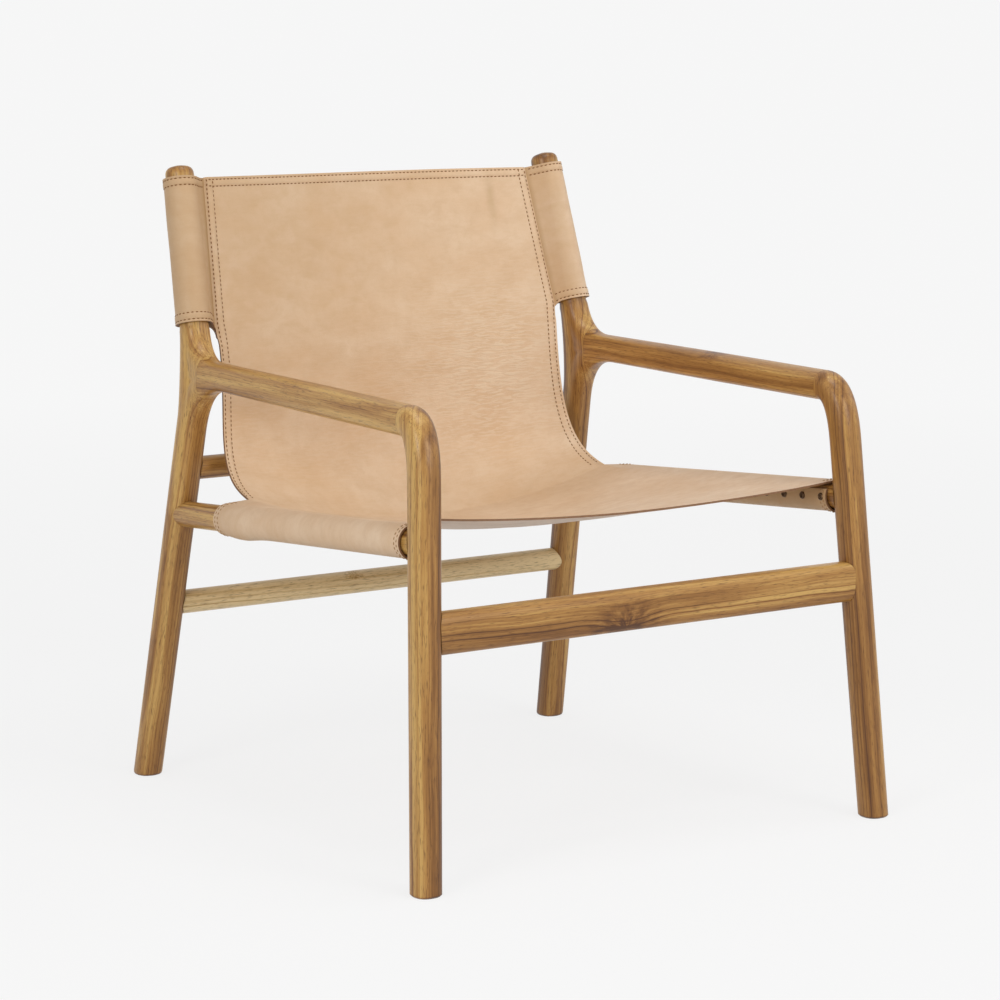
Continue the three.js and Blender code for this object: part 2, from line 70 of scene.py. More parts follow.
# Stance of the frame, on the axes of its timbers
FOOT_SPAN = 685 * MM
FRONT_FOOT_SPREAD = 647 * MM
REAR_FOOT_SPREAD = 627 * MM
ELBOW_SPREAD = 595 * MM
ELBOW_SETBACK = 42 * MM
ELBOW_HEIGHT = 524 * MM
BEND_SPREAD = 579 * MM
BEND_ADVANCE = 108 * MM
BEND_HEIGHT = 529 * MM
POST_SPREAD = 550 * MM
POST_RAKE = 70.5 * MM
POST_HEIGHT = 778 * MM

# Timber sections
TIMBER = 36.2 * MM
ARM_NECK = 34.5 * MM  # the arm is slimmest just ahead of its joint with the rear leg
FOOT_DIAMETER = 34.8 * MM
POST_DIAMETER = 36 * MM
ROUND = 2  # power of a true round section
SQUARENESS = 2.4  # power of the legs' and arms' sections, a little squarer
STRETCHER_SQUARENESS = 3.4  # the front stretcher has flat faces and round edges
FOOT_CHAMFER = 2 * MM
FOOT_DARK_BAND = 3.5 * MM  # the feet are darker up to here
POST_DOME = 9 * MM
DOME_STEP = 15  # degrees between the dome's rings
DOME_SHRINK = 0.42  # share of the radius that the dome's shoulder takes
DOME_CROWN = 1.8 * MM  # rise of the dome's flat top
CROWN_DIAMETER = POST_DIAMETER / 5
ELBOW_REACH = 65 * MM
ELBOW_SEAM = 32 * MM
BEND_REACH = 58 * MM
BEND_SOFTNESS = BEND_REACH / 4  # how softly the grain follows the bend
BEND_SWELL = 3.4 * MM  # a rear leg is thicker by this where its arm joins
UPPER_BRANCH = 53 * MM
LOWER_BRANCH = 78 * MM
ARM_SEAM = 28 * MM
GLUE_LINE = 0.4 * MM
COPE_GAP = 0.6 * MM  # a bar's coped end stands this far off its leg
VOXEL = 1.5 * MM  # grid on which a rear leg and its arm are worked into one form
ROUNDING = 0.5  # how strongly each pass rounds its hollows
ROUNDING_PASSES = 10

# Rails and stretchers, with the heights where their axes meet the legs' axes
SIDE_RAIL_DIAMETER = 32.5 * MM
SIDE_RAIL_FRONT_HEIGHT = 392.5 * MM
SIDE_RAIL_REAR_HEIGHT = 347 * MM
FRONT_STRETCHER_HEIGHT = 290.5 * MM
FRONT_STRETCHER_DEPTH = 48.3 * MM
FRONT_STRETCHER_THICKNESS = 30 * MM
REAR_STRETCHER_HEIGHT = 229 * MM
REAR_STRETCHER_DIAMETER = 30 * MM
REAR_RAIL_RISE = 58 * MM
REAR_RAIL_DIAMETER = 29 * MM

# The log that each timber was sawn from. Its pith lies off the timber's axis by so many millimetres to the
# right, and then to the rear or up. The timber has a darkness of its own, its tone. It darkens towards the
# heart by so much over a timber's width, and fades by so much over a metre of its length.
Log = namedtuple("Log", "pith tone heart fade")
LOGS = {
    "front_leg_left": Log(pith=(90, -60), tone=0.82, heart=1.1, fade=0.5),
    "front_leg_right": Log(pith=(-70, 60), tone=0.76, heart=0.3, fade=0.5),
    "arm_left": Log(pith=(-18, 70), tone=0.14, heart=0.2, fade=-0.5),
    "arm_right": Log(pith=(-18, 70), tone=0.44, heart=0.2, fade=-0.2),
    "rear_leg_left": Log(pith=(125, 8), tone=0.54, heart=0.25, fade=0.4),
    "rear_leg_right": Log(pith=(-50, 45), tone=0.64, heart=0.4, fade=0.15),
    "front_stretcher": Log(pith=(14, -55), tone=0.64, heart=0.25, fade=0.5),
    "rear_stretcher": Log(pith=(20, 40), tone=-0.18, heart=0.5, fade=0),
    "rear_rail": Log(pith=(30, -60), tone=0.5, heart=0.2, fade=0),
    "side_rail_left": Log(pith=(25, 45), tone=0.4, heart=0.3, fade=0),
    # the right rail's higher tone is its own darker wood and painted shade under the seat
    "side_rail_right": Log(pith=(25, 45), tone=0.8, heart=0.3, fade=0),
}
LOG_SPACING = 3.7  # far enough apart for each timber to get a figure of its own
UPRIGHT = 0.7  # a timber that rises more steeply than this stands, and others lie
FOOT_DARKENING = 0.7  # the feet are darker by this
END_GRAIN = 0.4  # the dome takes up more oil, so it is darker by this

# Knots, by their share of the timber's length
BURL_PLACE = 0.43
BURL_DROP = 0.4 * FRONT_STRETCHER_DEPTH
BURL_SIZE = 48 * MM
PIN_KNOT_PLACE = 0.44
PIN_KNOT_OFFSET = Vector((0, -0.3, 0.4)) * REAR_STRETCHER_DIAMETER
PIN_KNOT_SIZE = 12 * MM
ARM_KNOT_PLACE = 0.45
ARM_KNOT_SIZE = 24 * MM
KNOT_STRETCH = 1.6  # a knot is this much longer along the grain
NO_KNOT = (Vector((9, 9, 9)), 1)  # a place off every timber, and a size

# The hide
HIDE = 2.4 * MM
HIDE_GAP = 0.4 * MM
WRAP_SLACK = 1 * MM  # the wrap lies this loose on its rail
WRAP_START = 22 * MM
WRAP_END = 124 * MM
WRAP_TURN = 5.2  # about how many radians of its rail the wrap covers
FLAP_RISE = 9 * MM
SHOULDER = 31 * MM
SHOULDER_EASE = 48 * MM  # width of seat over which it turns up to the rail
EASE_FADE = 90 * MM  # this turn gets sharp over this length, towards the rear hem
FRONT_SAG = 8.6 * MM
SEAT_SAG = 44 * MM
BACK_BOW = 15 * MM
SAG_FADE = 2.2  # how soon the seat's sag gives way to the back's bow
EDGE_DROP = 6 * MM
FRONT_DROP = 3.2 * MM  # the front edge leaves its rail this much lower
DROP_FADE = 4  # how soon that dies out to the rear
FRONT_LIFT = 6.5 * MM  # but stands up this much at its left end
LIFT_DEPTH = 45 * MM  # and this far back
LIFT_SPREAD = 1.5  # how soon the lift dies out towards the middle
HEM_LIFT = 2 * MM
HEEL_REACH = 104 * MM
HEEL_RISE = 18 * MM
WAIST_DROP = 97 * MM
WAIST_LEAN = 24 * MM
WAIST_PINCH = 9 * MM
WAIST_ARC = 1.08  # the free edge of the back is this much longer than its chord
PANEL_INSET = 33.5 * MM  # from the post's axis to the panel's edge, at its top
NECK_INSET = 29.5 * MM  # and where the sleeves end
PANEL_STANDOFF = HIDE * 1.5 + HIDE_GAP  # from between the sleeve's two layers to the panel's middle
SLEEVE_LAP = 17 * MM
SLEEVE_CLEAR = 2 * MM
SLEEVE_SLACK = 0.8 * MM  # a sleeve lies this loose on its post at the top
LOWER_SLACK = 1.9 * MM  # and at its lower end
SLEEVE_DIP = 18 * MM  # the sleeve's lower edge sweeps down this far into the panel's free edge
DIP_START = 17 * MM  # from the post's axis
DIP_HIDDEN = 4 * MM  # part of the sweep that the panel covers
DIP_FADE = 10  # how soon the sweep dies out up the sleeve
LAYER_GAP = 0.1 * MM  # between the two layers of a sleeve's tab
FOLD_REACH = 0.6  # share of the way to the post at which a sleeve's fold ends
TOP_CROWN = 5.5 * MM  # rise of the back's top edge in the middle
LEFT_CORNER = 0.5  # share of that rise that the left corner keeps
POST_PROUD = 15 * MM
LEAN_SPAN = 45 * MM  # the sag's direction is taken over this length to either side
END_FLARE = 1.6 * MM  # the wrap opens this much at its front end
FLARE_LENGTH = 7 * MM
REAR_BULGE = 3.6 * MM  # and stands off this much ahead of its rear hem
BULGE_PLACE = 52 * MM
BULGE_LENGTH = 34 * MM
HIDE_SWELLS = [(90 * MM, 1.1 * MM), (34 * MM, 0.3 * MM)]  # its unevenness: how far apart, and how high
SLEEVE_SWELLS = [(40 * MM, 0.5 * MM)]
QUIET_EDGE = 40 * MM  # the hide gets even towards the edges of the back
QUIET_FRONT = 30 * MM  # and towards the front edge
SLEEVE_HOLD = 20 * MM  # from this far off the post's axis, a sleeve gets even towards its seam

# Hems and stitching
OUTER_ROW = 3.2 * MM  # stitch rows, from the cut edge
WRAP_ROW = 4.6 * MM  # the outer row of the wraps' hems
INNER_ROW = 11.2 * MM
HEM_PROUD = 1 * MM  # the doubled edge stands this proud between its rows
HEM_FULL = INNER_ROW - 1 * MM  # it is full up to here
HEM_END = INNER_ROW + 2 * MM  # and ends here
TOP_HEM = 14 * MM  # the hem at the top of the back lies within this of its edge
STITCH_PULL = 0.7  # the stitches take away this share of its height
PULL_WIDTH = 1.3 * MM
FREE_START = -12 * MM  # the back's doubled edges begin to stand proud here, from the heel
FREE_FULL = 25 * MM
SEWN_START = -SLEEVE_DIP - 8 * MM  # the panel's edge begins to lie on its sleeve here, from the neck
SEWN_FULL = -SLEEVE_DIP + 4 * MM
TUCK = OUTER_ROW + 1 * MM  # width of the edge that tucks down onto the sleeve
STITCH_PITCH = 5.7 * MM
STITCH_LENGTH = 4 * MM
THREAD = 1.7 * MM

# Wear of the leather, a drip stain and painted shade, to the right of the middle, above the heel or below the
# top
CREASED = SimpleNamespace(right=160 * MM, above=190 * MM, width=110 * MM, height=90 * MM)  # most creased
LOW_CREASED = SimpleNamespace(above=120 * MM, height=90 * MM)  # a little creased, all across
CREASE_LEAST = 0.1
CREASE_MOST = 0.9
CREASE_LOW = 0.25
DRIP = SimpleNamespace(right=185 * MM, below=40 * MM, width=6 * MM, height=32 * MM)
BACK_START, BACK_FULL = -40 * MM, 80 * MM  # from the seat to the back
HIGH_FULL = 380 * MM  # the back's painted shade deepens up to here
LEFT_START, LEFT_FULL = 200 * MM, -220 * MM  # and from right to left
LEFT_LEAST = 0.5  # by this share at the heel
SEAT_FULL = 200 * MM  # the seat's painted shade deepens from the middle to here
FLAP_START, FLAP_FULL = 330 * MM, 365 * MM
HEEL_HEIGHT = 70 * MM
# How much darker each part of the hide is: a real drip stain, and painted shade at the back's left and top,
# the heel, the seat's right side and the flaps
STAIN_AND_SHADE = {"drip": 0.28, "left": 0.28, "high": 0.17, "heel": 0.22, "seat": 0.13, "flap": 0.7}
SLEEVE_DARKENING = {"left": 0.55, "right": 0.3}  # the sleeves are darker than the hide, the left one more so
TURN_PAINTED_SHADE = 0.16  # and on the front, where they turn to the panel, painted shade darkens them more
TURN_START, TURN_FULL = -4 * MM, 18 * MM
FOLD_PAINTED_SHADE = 0.35  # and painted shade darkens the fold at the seam
FOLD_WIDTH = 8 * MM
RIM_PAINTED_HIGHLIGHT = 0.22  # and a painted highlight makes the right one's outer side paler
RIM_START, RIM_FULL = 2 * MM, -10 * MM

# Screws through the flap
SCREW_PITCH = 35 * MM
SCREW_INSET = 9 * MM
SCREW_COUNT = 13
CUP_DIAMETER = 9.4 * MM
CUP_RISE = 1.8 * MM
CUP_OUTLINE = [(1, -0.3), (1, 0.2), (0.88, 0.75), (0.72, 1), (0.6, 0.8)]  # shares of radius and rise
HEAD_OUTLINE = [(0.52, 0.25), (0.2, 0.3), (0.12, 0.05), (0, 0.05)]

# Fineness of the meshes
TIMBER_SIDES = 48
BEND_STEPS = 20
SHEET_STEP = 4.6 * MM
WING_COLUMNS = 34
WING_STRAIGHT = 0.25  # share of a wing's columns between the shoulder and the rail
TAB_STEPS = 8
TAB_FLAT = 5  # steps of a tab that lie flat, before its fold
FOLD_STEPS = 12
LOOP_STEPS = 44
CUP_SIDES = 20
# Rows of points over a hem, from its cut edge
HEM_STEPS = [d * MM for d in (0, 0.8, 1.6, 2.4, 3.2, 4.6, 6.8, 9, 10.1, 11.2, 12.4, 14.4, 18)]
SHARP = math.radians(38)  # faces that meet at more than this get a crease
SAME = 1e-6  # points closer than this are merged

# The photograph's view
VIEW_AZIMUTH = math.radians(-33.6)
VIEW_ELEVATION = math.radians(8.97)
VIEW_DISTANCE = 4.12
VIEW_TARGET = Vector((3.35 * MM, 0, 373.4 * MM))
VIEW_LENS = 119.9
VIEW_SENSOR = 36


# Materials

def srgb(code):
    """A hex colour as linear red, green, blue and alpha."""
    channels = [int(code[i:i + 2], 16) / 255 for i in (1, 3, 5)]
    return (*(c / 12.92 if c <= 0.04045 else ((c + 0.055) / 1.055) ** 2.4 for c in channels), 1)


def add(tree, kind, inputs=None, **settings):
    """Adds a node, makes its settings, and sets its inputs or links them to other nodes' outputs.

    Inputs go by name or number. A Map Range has the range that goes in at 1 and 2, and the one that comes
    out at 3 and 4. A Mix of colours has them at 6 and 7.
    """
    made = tree.nodes.new(kind)
    for name, value in settings.items():
        setattr(made, name, value)
    for name, value in (inputs or {}).items():
        if isinstance(value, bpy.types.NodeSocket):
            tree.links.new(value, made.inputs[name])
        else:
            made.inputs[name].default_value = value
    return made


def new_material(name, **sockets):
    """A material with its constants set on the shader's own sockets."""
    material = bpy.data.materials.new(name)
    material.use_nodes = True
    shader = material.node_tree.nodes["Principled BSDF"]
    for socket, value in sockets.items():
        shader.inputs[socket.replace("_", " ")].default_value = value
    return material, material.node_tree, shader


def per_mm(*sizes):
    """Scale of a pattern whose features are these many millimetres along each axis."""
    return tuple(1 / (size * MM) for size in sizes)


def two_toned(tree, shader, place, sizes, detail, light, dark):
    """Gives a shader a colour that wavers between two over so many millimetres. Returns how far it does."""
    drawn = add(tree, "ShaderNodeVectorMath", {0: place, 1: per_mm(*sizes)}, operation="MULTIPLY")
    pattern = add(tree, "ShaderNodeTexNoise", {"Vector": drawn.outputs[0], "Scale": 1, "Detail": detail})
    share = pattern.outputs["Fac"]
    mixed = add(tree, "ShaderNodeMix", {0: share, 6: srgb(light), 7: srgb(dark)}, data_type="RGBA")
    tree.links.new(mixed.outputs[2], shader.inputs["Base Color"])
    return share


def teak(name, light, warm, dark, pore):
    """Teak, planed, sanded and oiled: streaks from honey to brown, short dark pores, a soft gloss."""
    material, tree, shader = new_material(name, IOR=1.5, Specular_IOR_Level=0.45)
    grain = add(tree, "ShaderNodeAttribute", attribute_name="grain").outputs["Vector"]
    knot = add(tree, "ShaderNodeAttribute", attribute_name="knot").outputs["Vector"]
    tone = add(tree, "ShaderNodeAttribute", attribute_name="tone").outputs["Fac"]

    # Rings about 3 mm wide wander up to 6 mm along the timber, and a knot pushes them out by 9 mm
    slow = add(tree, "ShaderNodeVectorMath", {0: grain, 1: per_mm(60, 60, 210)}, operation="MULTIPLY")
    wander = add(tree, "ShaderNodeTexNoise", {"Vector": slow.outputs[0], "Scale": 1, "Detail": 2})
    shift = add(
        tree, "ShaderNodeVectorMath", {0: wander.outputs["Color"], 1: (0.5, 0.5, 0.5)},
        operation="SUBTRACT",
    )
    swing = add(
        tree, "ShaderNodeVectorMath", {0: shift.outputs[0], 1: (12 * MM, 12 * MM, 0), 2: grain},
        operation="MULTIPLY_ADD",
    )
    flat = add(tree, "ShaderNodeVectorMath", {0: swing.outputs[0], 1: (1, 1, 0)}, operation="MULTIPLY")
    radius = add(tree, "ShaderNodeVectorMath", {0: flat.outputs[0]}, operation="LENGTH")
    reach = add(tree, "ShaderNodeVectorMath", {0: knot}, operation="LENGTH")
    core = add(
        tree, "ShaderNodeMapRange", {0: reach.outputs["Value"], 1: 0, 2: 1, 3: 1, 4: 0},
        interpolation_type="SMOOTHSTEP",
    )
    pushed = add(
        tree, "ShaderNodeMath", {0: core.outputs[0], 1: 9 * MM, 2: radius.outputs["Value"]},
        operation="MULTIPLY_ADD",
    )
    years = add(tree, "ShaderNodeMath", {0: pushed.outputs[0], 1: per_mm(3.4)[0]}, operation="MULTIPLY")
    rings = add(
        tree, "ShaderNodeTexNoise", {"W": years.outputs[0], "Scale": 1, "Detail": 3, "Roughness": 0.6},
        noise_dimensions="1D",
    )

    # Broad bands, fine streaks and pores, all drawn out along the grain
    figure = {"rings": rings.outputs["Fac"]}
    for part, place, sizes, settings in [
        ("bands", swing.outputs[0], (11, 11, 280), {"Detail": 2}),
        ("streaks", swing.outputs[0], (1.6, 1.6, 60), {"Detail": 3, "Roughness": 0.6}),
        ("pores", grain, (1, 1, 13), {"Detail": 2}),
    ]:
        drawn = add(tree, "ShaderNodeVectorMath", {0: place, 1: per_mm(*sizes)}, operation="MULTIPLY")
        pattern = add(tree, "ShaderNodeTexNoise", {"Vector": drawn.outputs[0], "Scale": 1, **settings})
        figure[part] = pattern.outputs["Fac"]

    # Lines that fan out of a knot
    apart = add(tree, "ShaderNodeSeparateXYZ", {0: knot})
    bearing = add(tree, "ShaderNodeMath", {0: apart.outputs["Z"], 1: apart.outputs["Y"]}, operation="ARCTAN2")
    rays = add(tree, "ShaderNodeCombineXYZ", {"X": bearing.outputs[0], "Y": reach.outputs["Value"]})
    fan = add(
        tree, "ShaderNodeTexNoise", {"Vector": rays.outputs[0], "Scale": 3.2, "Detail": 3, "Roughness": 0.6},
    )
    fan_tone = add(tree, "ShaderNodeMapRange", {0: fan.outputs["Fac"], 1: 0.38, 2: 0.66, 3: 0.1, 4: 1.1})
    knot_tone = add(
        tree, "ShaderNodeMath", {0: fan_tone.outputs[0], 1: core.outputs[0]}, operation="MULTIPLY",
    )

    # Darkness, from the timber's own tone and from its figure
    depth = add(tree, "ShaderNodeMath", {0: knot_tone.outputs[0], 1: tone}, operation="ADD")
    for part, gain in [("bands", 1.9), ("rings", 0.9), ("streaks", 0.55)]:
        centred = add(tree, "ShaderNodeMath", {0: figure[part], 1: 0.5}, operation="SUBTRACT")
        depth = add(
            tree, "ShaderNodeMath", {0: centred.outputs[0], 1: gain, 2: depth.outputs[0]},
            operation="MULTIPLY_ADD",
        )
    late = add(tree, "ShaderNodeMapRange", {0: figure["rings"], 1: 0.64, 2: 0.72, 3: 0, 4: 0.4})
    depth = add(tree, "ShaderNodeMath", {0: late.outputs[0], 1: depth.outputs[0]}, operation="ADD")
    colour = srgb(light)
    for low, high, tint in [(0, 0.45, warm), (0.45, 0.9, dark), (0.9, 1.4, pore)]:
        share = add(tree, "ShaderNodeMapRange", {0: depth.outputs[0], 1: low, 2: high})
        mixed = add(tree, "ShaderNodeMix", {0: share.outputs[0], 6: colour, 7: srgb(tint)}, data_type="RGBA")
        colour = mixed.outputs[2]
    pore_tone = add(tree, "ShaderNodeMapRange", {0: figure["pores"], 1: 0.55, 2: 0.73, 3: 0, 4: 0.75})
    pored = add(tree, "ShaderNodeMix", {0: pore_tone.outputs[0], 6: colour, 7: srgb(pore)}, data_type="RGBA")
    tree.links.new(pored.outputs[2], shader.inputs["Base Color"])

    gloss = add(tree, "ShaderNodeMapRange", {0: figure["streaks"], 1: 0.3, 2: 0.7, 3: 0.29, 4: 0.43})
    tree.links.new(gloss.outputs[0], shader.inputs["Roughness"])
    dents = add(
        tree, "ShaderNodeMath", {0: pore_tone.outputs[0], 1: -0.5, 2: figure["streaks"]},
        operation="MULTIPLY_ADD",
    )
    bump = add(tree, "ShaderNodeBump", {"Strength": 0.25, "Distance": 0.25 * MM, "Height": dents.outputs[0]})
    tree.links.new(bump.outputs[0], shader.inputs["Normal"])
    return material


def dowel_beech():
    """Beech dowels, turned and fluted: pale, even wood with short flecks, hidden across the glue lines."""
    material, tree, shader = new_material("beech_turned", Roughness=0.6)
    place = add(tree, "ShaderNodeTexCoord").outputs["Object"]
    two_toned(tree, shader, place, (1.2, 14, 1.2), 2, "#D9BC92", "#C09C6C")
    return material


def saddle_leather():
    """Vegetable-tanned hide, grain side, undyed: cloudy nude tan, close pores, fine creases where bent."""
    material, tree, shader = new_material(
        "vegetable_tanned_hide", IOR=1.5, Specular_IOR_Level=0.32, Sheen_Weight=0.05,
    )
    lay = add(tree, "ShaderNodeAttribute", attribute_name="lay").outputs["Vector"]
    strain = add(tree, "ShaderNodeAttribute", attribute_name="strain").outputs["Fac"]
    tone = add(tree, "ShaderNodeAttribute", attribute_name="tone").outputs["Fac"]

    # Hair pores are about 0.3 mm, drawn at 1.8 mm to show in the render
    marks = {}
    for part, sizes, settings in [
        ("clouds", (95, 70, 95), {"Detail": 3, "Roughness": 0.55}),
        ("blots", (42, 26, 42), {"Detail": 5, "Roughness": 0.6, "Distortion": 0.5}),
        ("freckles", (11, 11, 11), {"Detail": 3}),
        ("creases", (17, 2.6, 17), {"Detail": 2, "Roughness": 0.5, "Distortion": 0.7}),
        ("pores", (1.8, 1.8, 1.8), {"Detail": 2, "Roughness": 0.65}),
    ]:
        drawn = add(tree, "ShaderNodeVectorMath", {0: lay, 1: per_mm(*sizes)}, operation="MULTIPLY")
        pattern = add(tree, "ShaderNodeTexNoise", {"Vector": drawn.outputs[0], "Scale": 1, **settings})
        marks[part] = pattern.outputs["Fac"]

    # Crease ridges are tinted paler by the strain: partly the stretched grain's own paleness, partly a
    # painted highlight
    ridge = add(tree, "ShaderNodeMapRange", {0: marks["creases"], 1: 0.44, 2: 0.62})
    ridge_height = add(tree, "ShaderNodeMath", {0: ridge.outputs[0], 1: strain}, operation="MULTIPLY")
    ridge_tint_and_highlight = add(tree, "ShaderNodeMath", {0: ridge_height.outputs[0], 1: 0.75}, operation="MULTIPLY")
    layers = []
    for part, low, high, most, tint in [
        ("clouds", 0.32, 0.68, 1, "#E6CBAD"),
        ("blots", 0.42, 0.72, 0.6, "#D1AE89"),
        ("freckles", 0.45, 0.75, 0.3, "#D4B18C"),
        ("pores", 0.5, 0.8, 0.25, "#C6A27C"),
    ]:
        share = add(tree, "ShaderNodeMapRange", {0: marks[part], 1: low, 2: high, 3: 0, 4: most})
        layers.append((share.outputs[0], tint))
    # Last the ridges' tint, and the tone: a drip stain and painted shade, and where it is below nought a
    # painted highlight
    layers += [(ridge_tint_and_highlight.outputs[0], "#E6CFB3"), (tone, "#A98558")]
    colour = srgb("#DCBA96")
    for share, tint in layers:
        colour = add(tree, "ShaderNodeMix", {0: share, 6: colour, 7: srgb(tint)}, data_type="RGBA").outputs[2]
    tree.links.new(colour, shader.inputs["Base Color"])

    gloss = add(tree, "ShaderNodeMapRange", {0: marks["freckles"], 1: 0.3, 2: 0.7, 3: 0.46, 4: 0.62})
    tree.links.new(gloss.outputs[0], shader.inputs["Roughness"])
    dents = add(
        tree, "ShaderNodeMath", {0: ridge_height.outputs[0], 1: 1.2, 2: marks["pores"]},
        operation="MULTIPLY_ADD",
    )
    bump = add(tree, "ShaderNodeBump", {"Strength": 0.5, "Distance": 0.3 * MM, "Height": dents.outputs[0]})
    tree.links.new(bump.outputs[0], shader.inputs["Normal"])
    return material


def flesh_side():
    """The hide's flesh side, left raw: a cloudy, pinkish grey nap with loose fibres and no gloss."""
    material, tree, shader = new_material(
        "hide_flesh_side", Roughness=0.95, Specular_IOR_Level=0.1, Sheen_Weight=0.15,
    )
    lay = add(tree, "ShaderNodeAttribute", attribute_name="lay").outputs["Vector"]
    marks = {}
    for part, sizes, settings in [
        ("nap", (2.5, 5, 2.5), {"Detail": 4, "Roughness": 0.7}),
        ("clouds", (60, 38, 60), {"Detail": 5, "Roughness": 0.6}),
    ]:
        drawn = add(tree, "ShaderNodeVectorMath", {0: lay, 1: per_mm(*sizes)}, operation="MULTIPLY")
        pattern = add(tree, "ShaderNodeTexNoise", {"Vector": drawn.outputs[0], "Scale": 1, **settings})
        marks[part] = pattern.outputs["Fac"]
    cloud_tone = add(tree, "ShaderNodeMapRange", {0: marks["clouds"], 1: 0.4, 2: 0.7, 3: 0, 4: 0.6})
    colour = srgb("#E6D7C9")
    for share, tint in [(marks["nap"], "#CDBAA8"), (cloud_tone.outputs[0], "#C2AA95")]:
        colour = add(tree, "ShaderNodeMix", {0: share, 6: colour, 7: srgb(tint)}, data_type="RGBA").outputs[2]
    tree.links.new(colour, shader.inputs["Base Color"])
    bump = add(tree, "ShaderNodeBump", {"Strength": 0.4, "Distance": 0.4 * MM, "Height": marks["nap"]})
    tree.links.new(bump.outputs[0], shader.inputs["Normal"])
    return material


def cut_edge():
    """The hide's cut edge, dyed and burnished: dark brown, a little uneven."""
    material, tree, shader = new_material("hide_cut_edge", Roughness=0.55, Specular_IOR_Level=0.3)
    lay = add(tree, "ShaderNodeAttribute", attribute_name="lay").outputs["Vector"]
    two_toned(tree, shader, lay, (6, 6, 6), 3, "#6E4A33", "#94704F")
    return material


def waxed_thread(name, light, dark):
    """Waxed linen thread, twisted: tone that changes from stitch to stitch."""
    material, tree, shader = new_material(name, Roughness=0.6, Specular_IOR_Level=0.15)
    place = add(tree, "ShaderNodeTexCoord").outputs["Object"]
    two_toned(tree, shader, place, (5, 5, 5), 2, light, dark)
    return material


def bronzed_brass():
    """Brass screws and cups, chemically bronzed: near-black brown, rubbed brighter in small patches."""
    material, tree, shader = new_material("bronzed_brass", Metallic=1)
    place = add(tree, "ShaderNodeTexCoord").outputs["Object"]
    wear = two_toned(tree, shader, place, (2, 2, 2), 3, "#35261A", "#7A614A")
    gloss = add(tree, "ShaderNodeMapRange", {0: wear, 3: 0.5, 4: 0.35})
    tree.links.new(gloss.outputs[0], shader.inputs["Roughness"])
    return material


TEAK = teak("oiled_teak", "#C89F5A", "#A8793C", "#825522", "#54300F")
PALE_TEAK = teak("oiled_pale_teak", "#E2C897", "#C4A26A", "#98723B", "#6C4821")
BEECH = dowel_beech()
LEATHER = [saddle_leather(), flesh_side(), cut_edge()]
SEAM_THREAD = waxed_thread("waxed_linen_brown", "#86592A", "#6A421A")
HEM_THREAD = waxed_thread("waxed_linen_tan", "#B08A62", "#99744E")
BRONZE = bronzed_brass()


# Pieces

def piece_from(name, bm, *materials):
    """Makes a bmesh an object of smooth faces, creased where it turns sharply."""
    mesh = bpy.data.meshes.new(name)
    bm.to_mesh(mesh)
    bm.free()
    for material in materials:
        mesh.materials.append(material)
    piece = bpy.data.objects.new(name, mesh)
    bpy.context.scene.collection.objects.link(piece)
    return smoothed(piece)


def smoothed(piece):
    piece.data.shade_smooth()
    piece.data.set_sharp_from_angle(angle=SHARP)
    return piece


def settled(piece):
    """Makes a piece's modifiers part of its mesh."""
    finished = piece.evaluated_get(bpy.context.evaluated_depsgraph_get())
    piece.data = bpy.data.meshes.new_from_object(finished)
    piece.modifiers.clear()
    return smoothed(piece)


def fitted(piece, slot, *nodes):
    """Puts a piece on the frame in the place of its solids."""
    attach(piece, "root")
    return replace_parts(piece, *nodes)


def store(piece, name, kind, values):
    """Keeps a value for each point of a piece, for its material."""
    held = piece.data.attributes.new(name, kind, "POINT")
    held.data.foreach_set("vector" if kind == "FLOAT_VECTOR" else "value", values)


def close_up(bm, points):
    """Merges doubled points, closes the open ends and turns all faces outwards."""
    bmesh.ops.remove_doubles(bm, verts=points, dist=SAME)
    bmesh.ops.holes_fill(bm, edges=[e for e in bm.edges if e.is_boundary], sides=0)
    bmesh.ops.recalc_face_normals(bm, faces=bm.faces)


def smoothstep(low, high, value):
    share = min(max((value - low) / (high - low), 0), 1)
    return share * share * (3 - 2 * share)


def bell(distance, width):
    return math.exp(-(distance / width) ** 2)


def rounded(start, corner, end, t):
    """A place on the arc that rounds a corner, from its start at 0 to its end at 1."""
    return start * (1 - t) ** 2 + corner * (2 * t * (1 - t)) + end * t ** 2


def nearest(values, wanted):
    """Which of some values is nearest to a wanted one."""
    return min(range(len(values)), key=lambda i: abs(values[i] - wanted))


def length_of(places):
    return sum((b - a).length for a, b in zip(places, places[1:]))


# The frame's setting out

def setting_out(name, side):
    """The points that a flank's timbers run between, the direction of its arm, and its plane."""
    def at(spread, y, z):
        return Vector((side * spread / 2, y, z))

    flank = SimpleNamespace(name=name, side=side)
    flank.front_foot = at(FRONT_FOOT_SPREAD, -FOOT_SPAN / 2, 0)
    flank.elbow = at(ELBOW_SPREAD, ELBOW_SETBACK - FOOT_SPAN / 2, ELBOW_HEIGHT)
    flank.rear_foot = at(REAR_FOOT_SPREAD, FOOT_SPAN / 2, 0)
    flank.bend = at(BEND_SPREAD, FOOT_SPAN / 2 - BEND_ADVANCE, BEND_HEIGHT)
    flank.post_top = at(POST_SPREAD, flank.bend.y + POST_RAKE, POST_HEIGHT)
    flank.arm = (flank.bend - flank.elbow).normalized()
    flank.plane = flank.arm.cross(flank.elbow - flank.front_foot).normalized()
    return flank


def front_at(flank, height):
    return flank.front_foot.lerp(flank.elbow, height / ELBOW_HEIGHT)


def rear_at(flank, height):
    return flank.rear_foot.lerp(flank.bend, height / BEND_HEIGHT)


FLANKS = [setting_out(name, side) for name, side in SIDES.items()]
LEFT, RIGHT = FLANKS


# Timbers

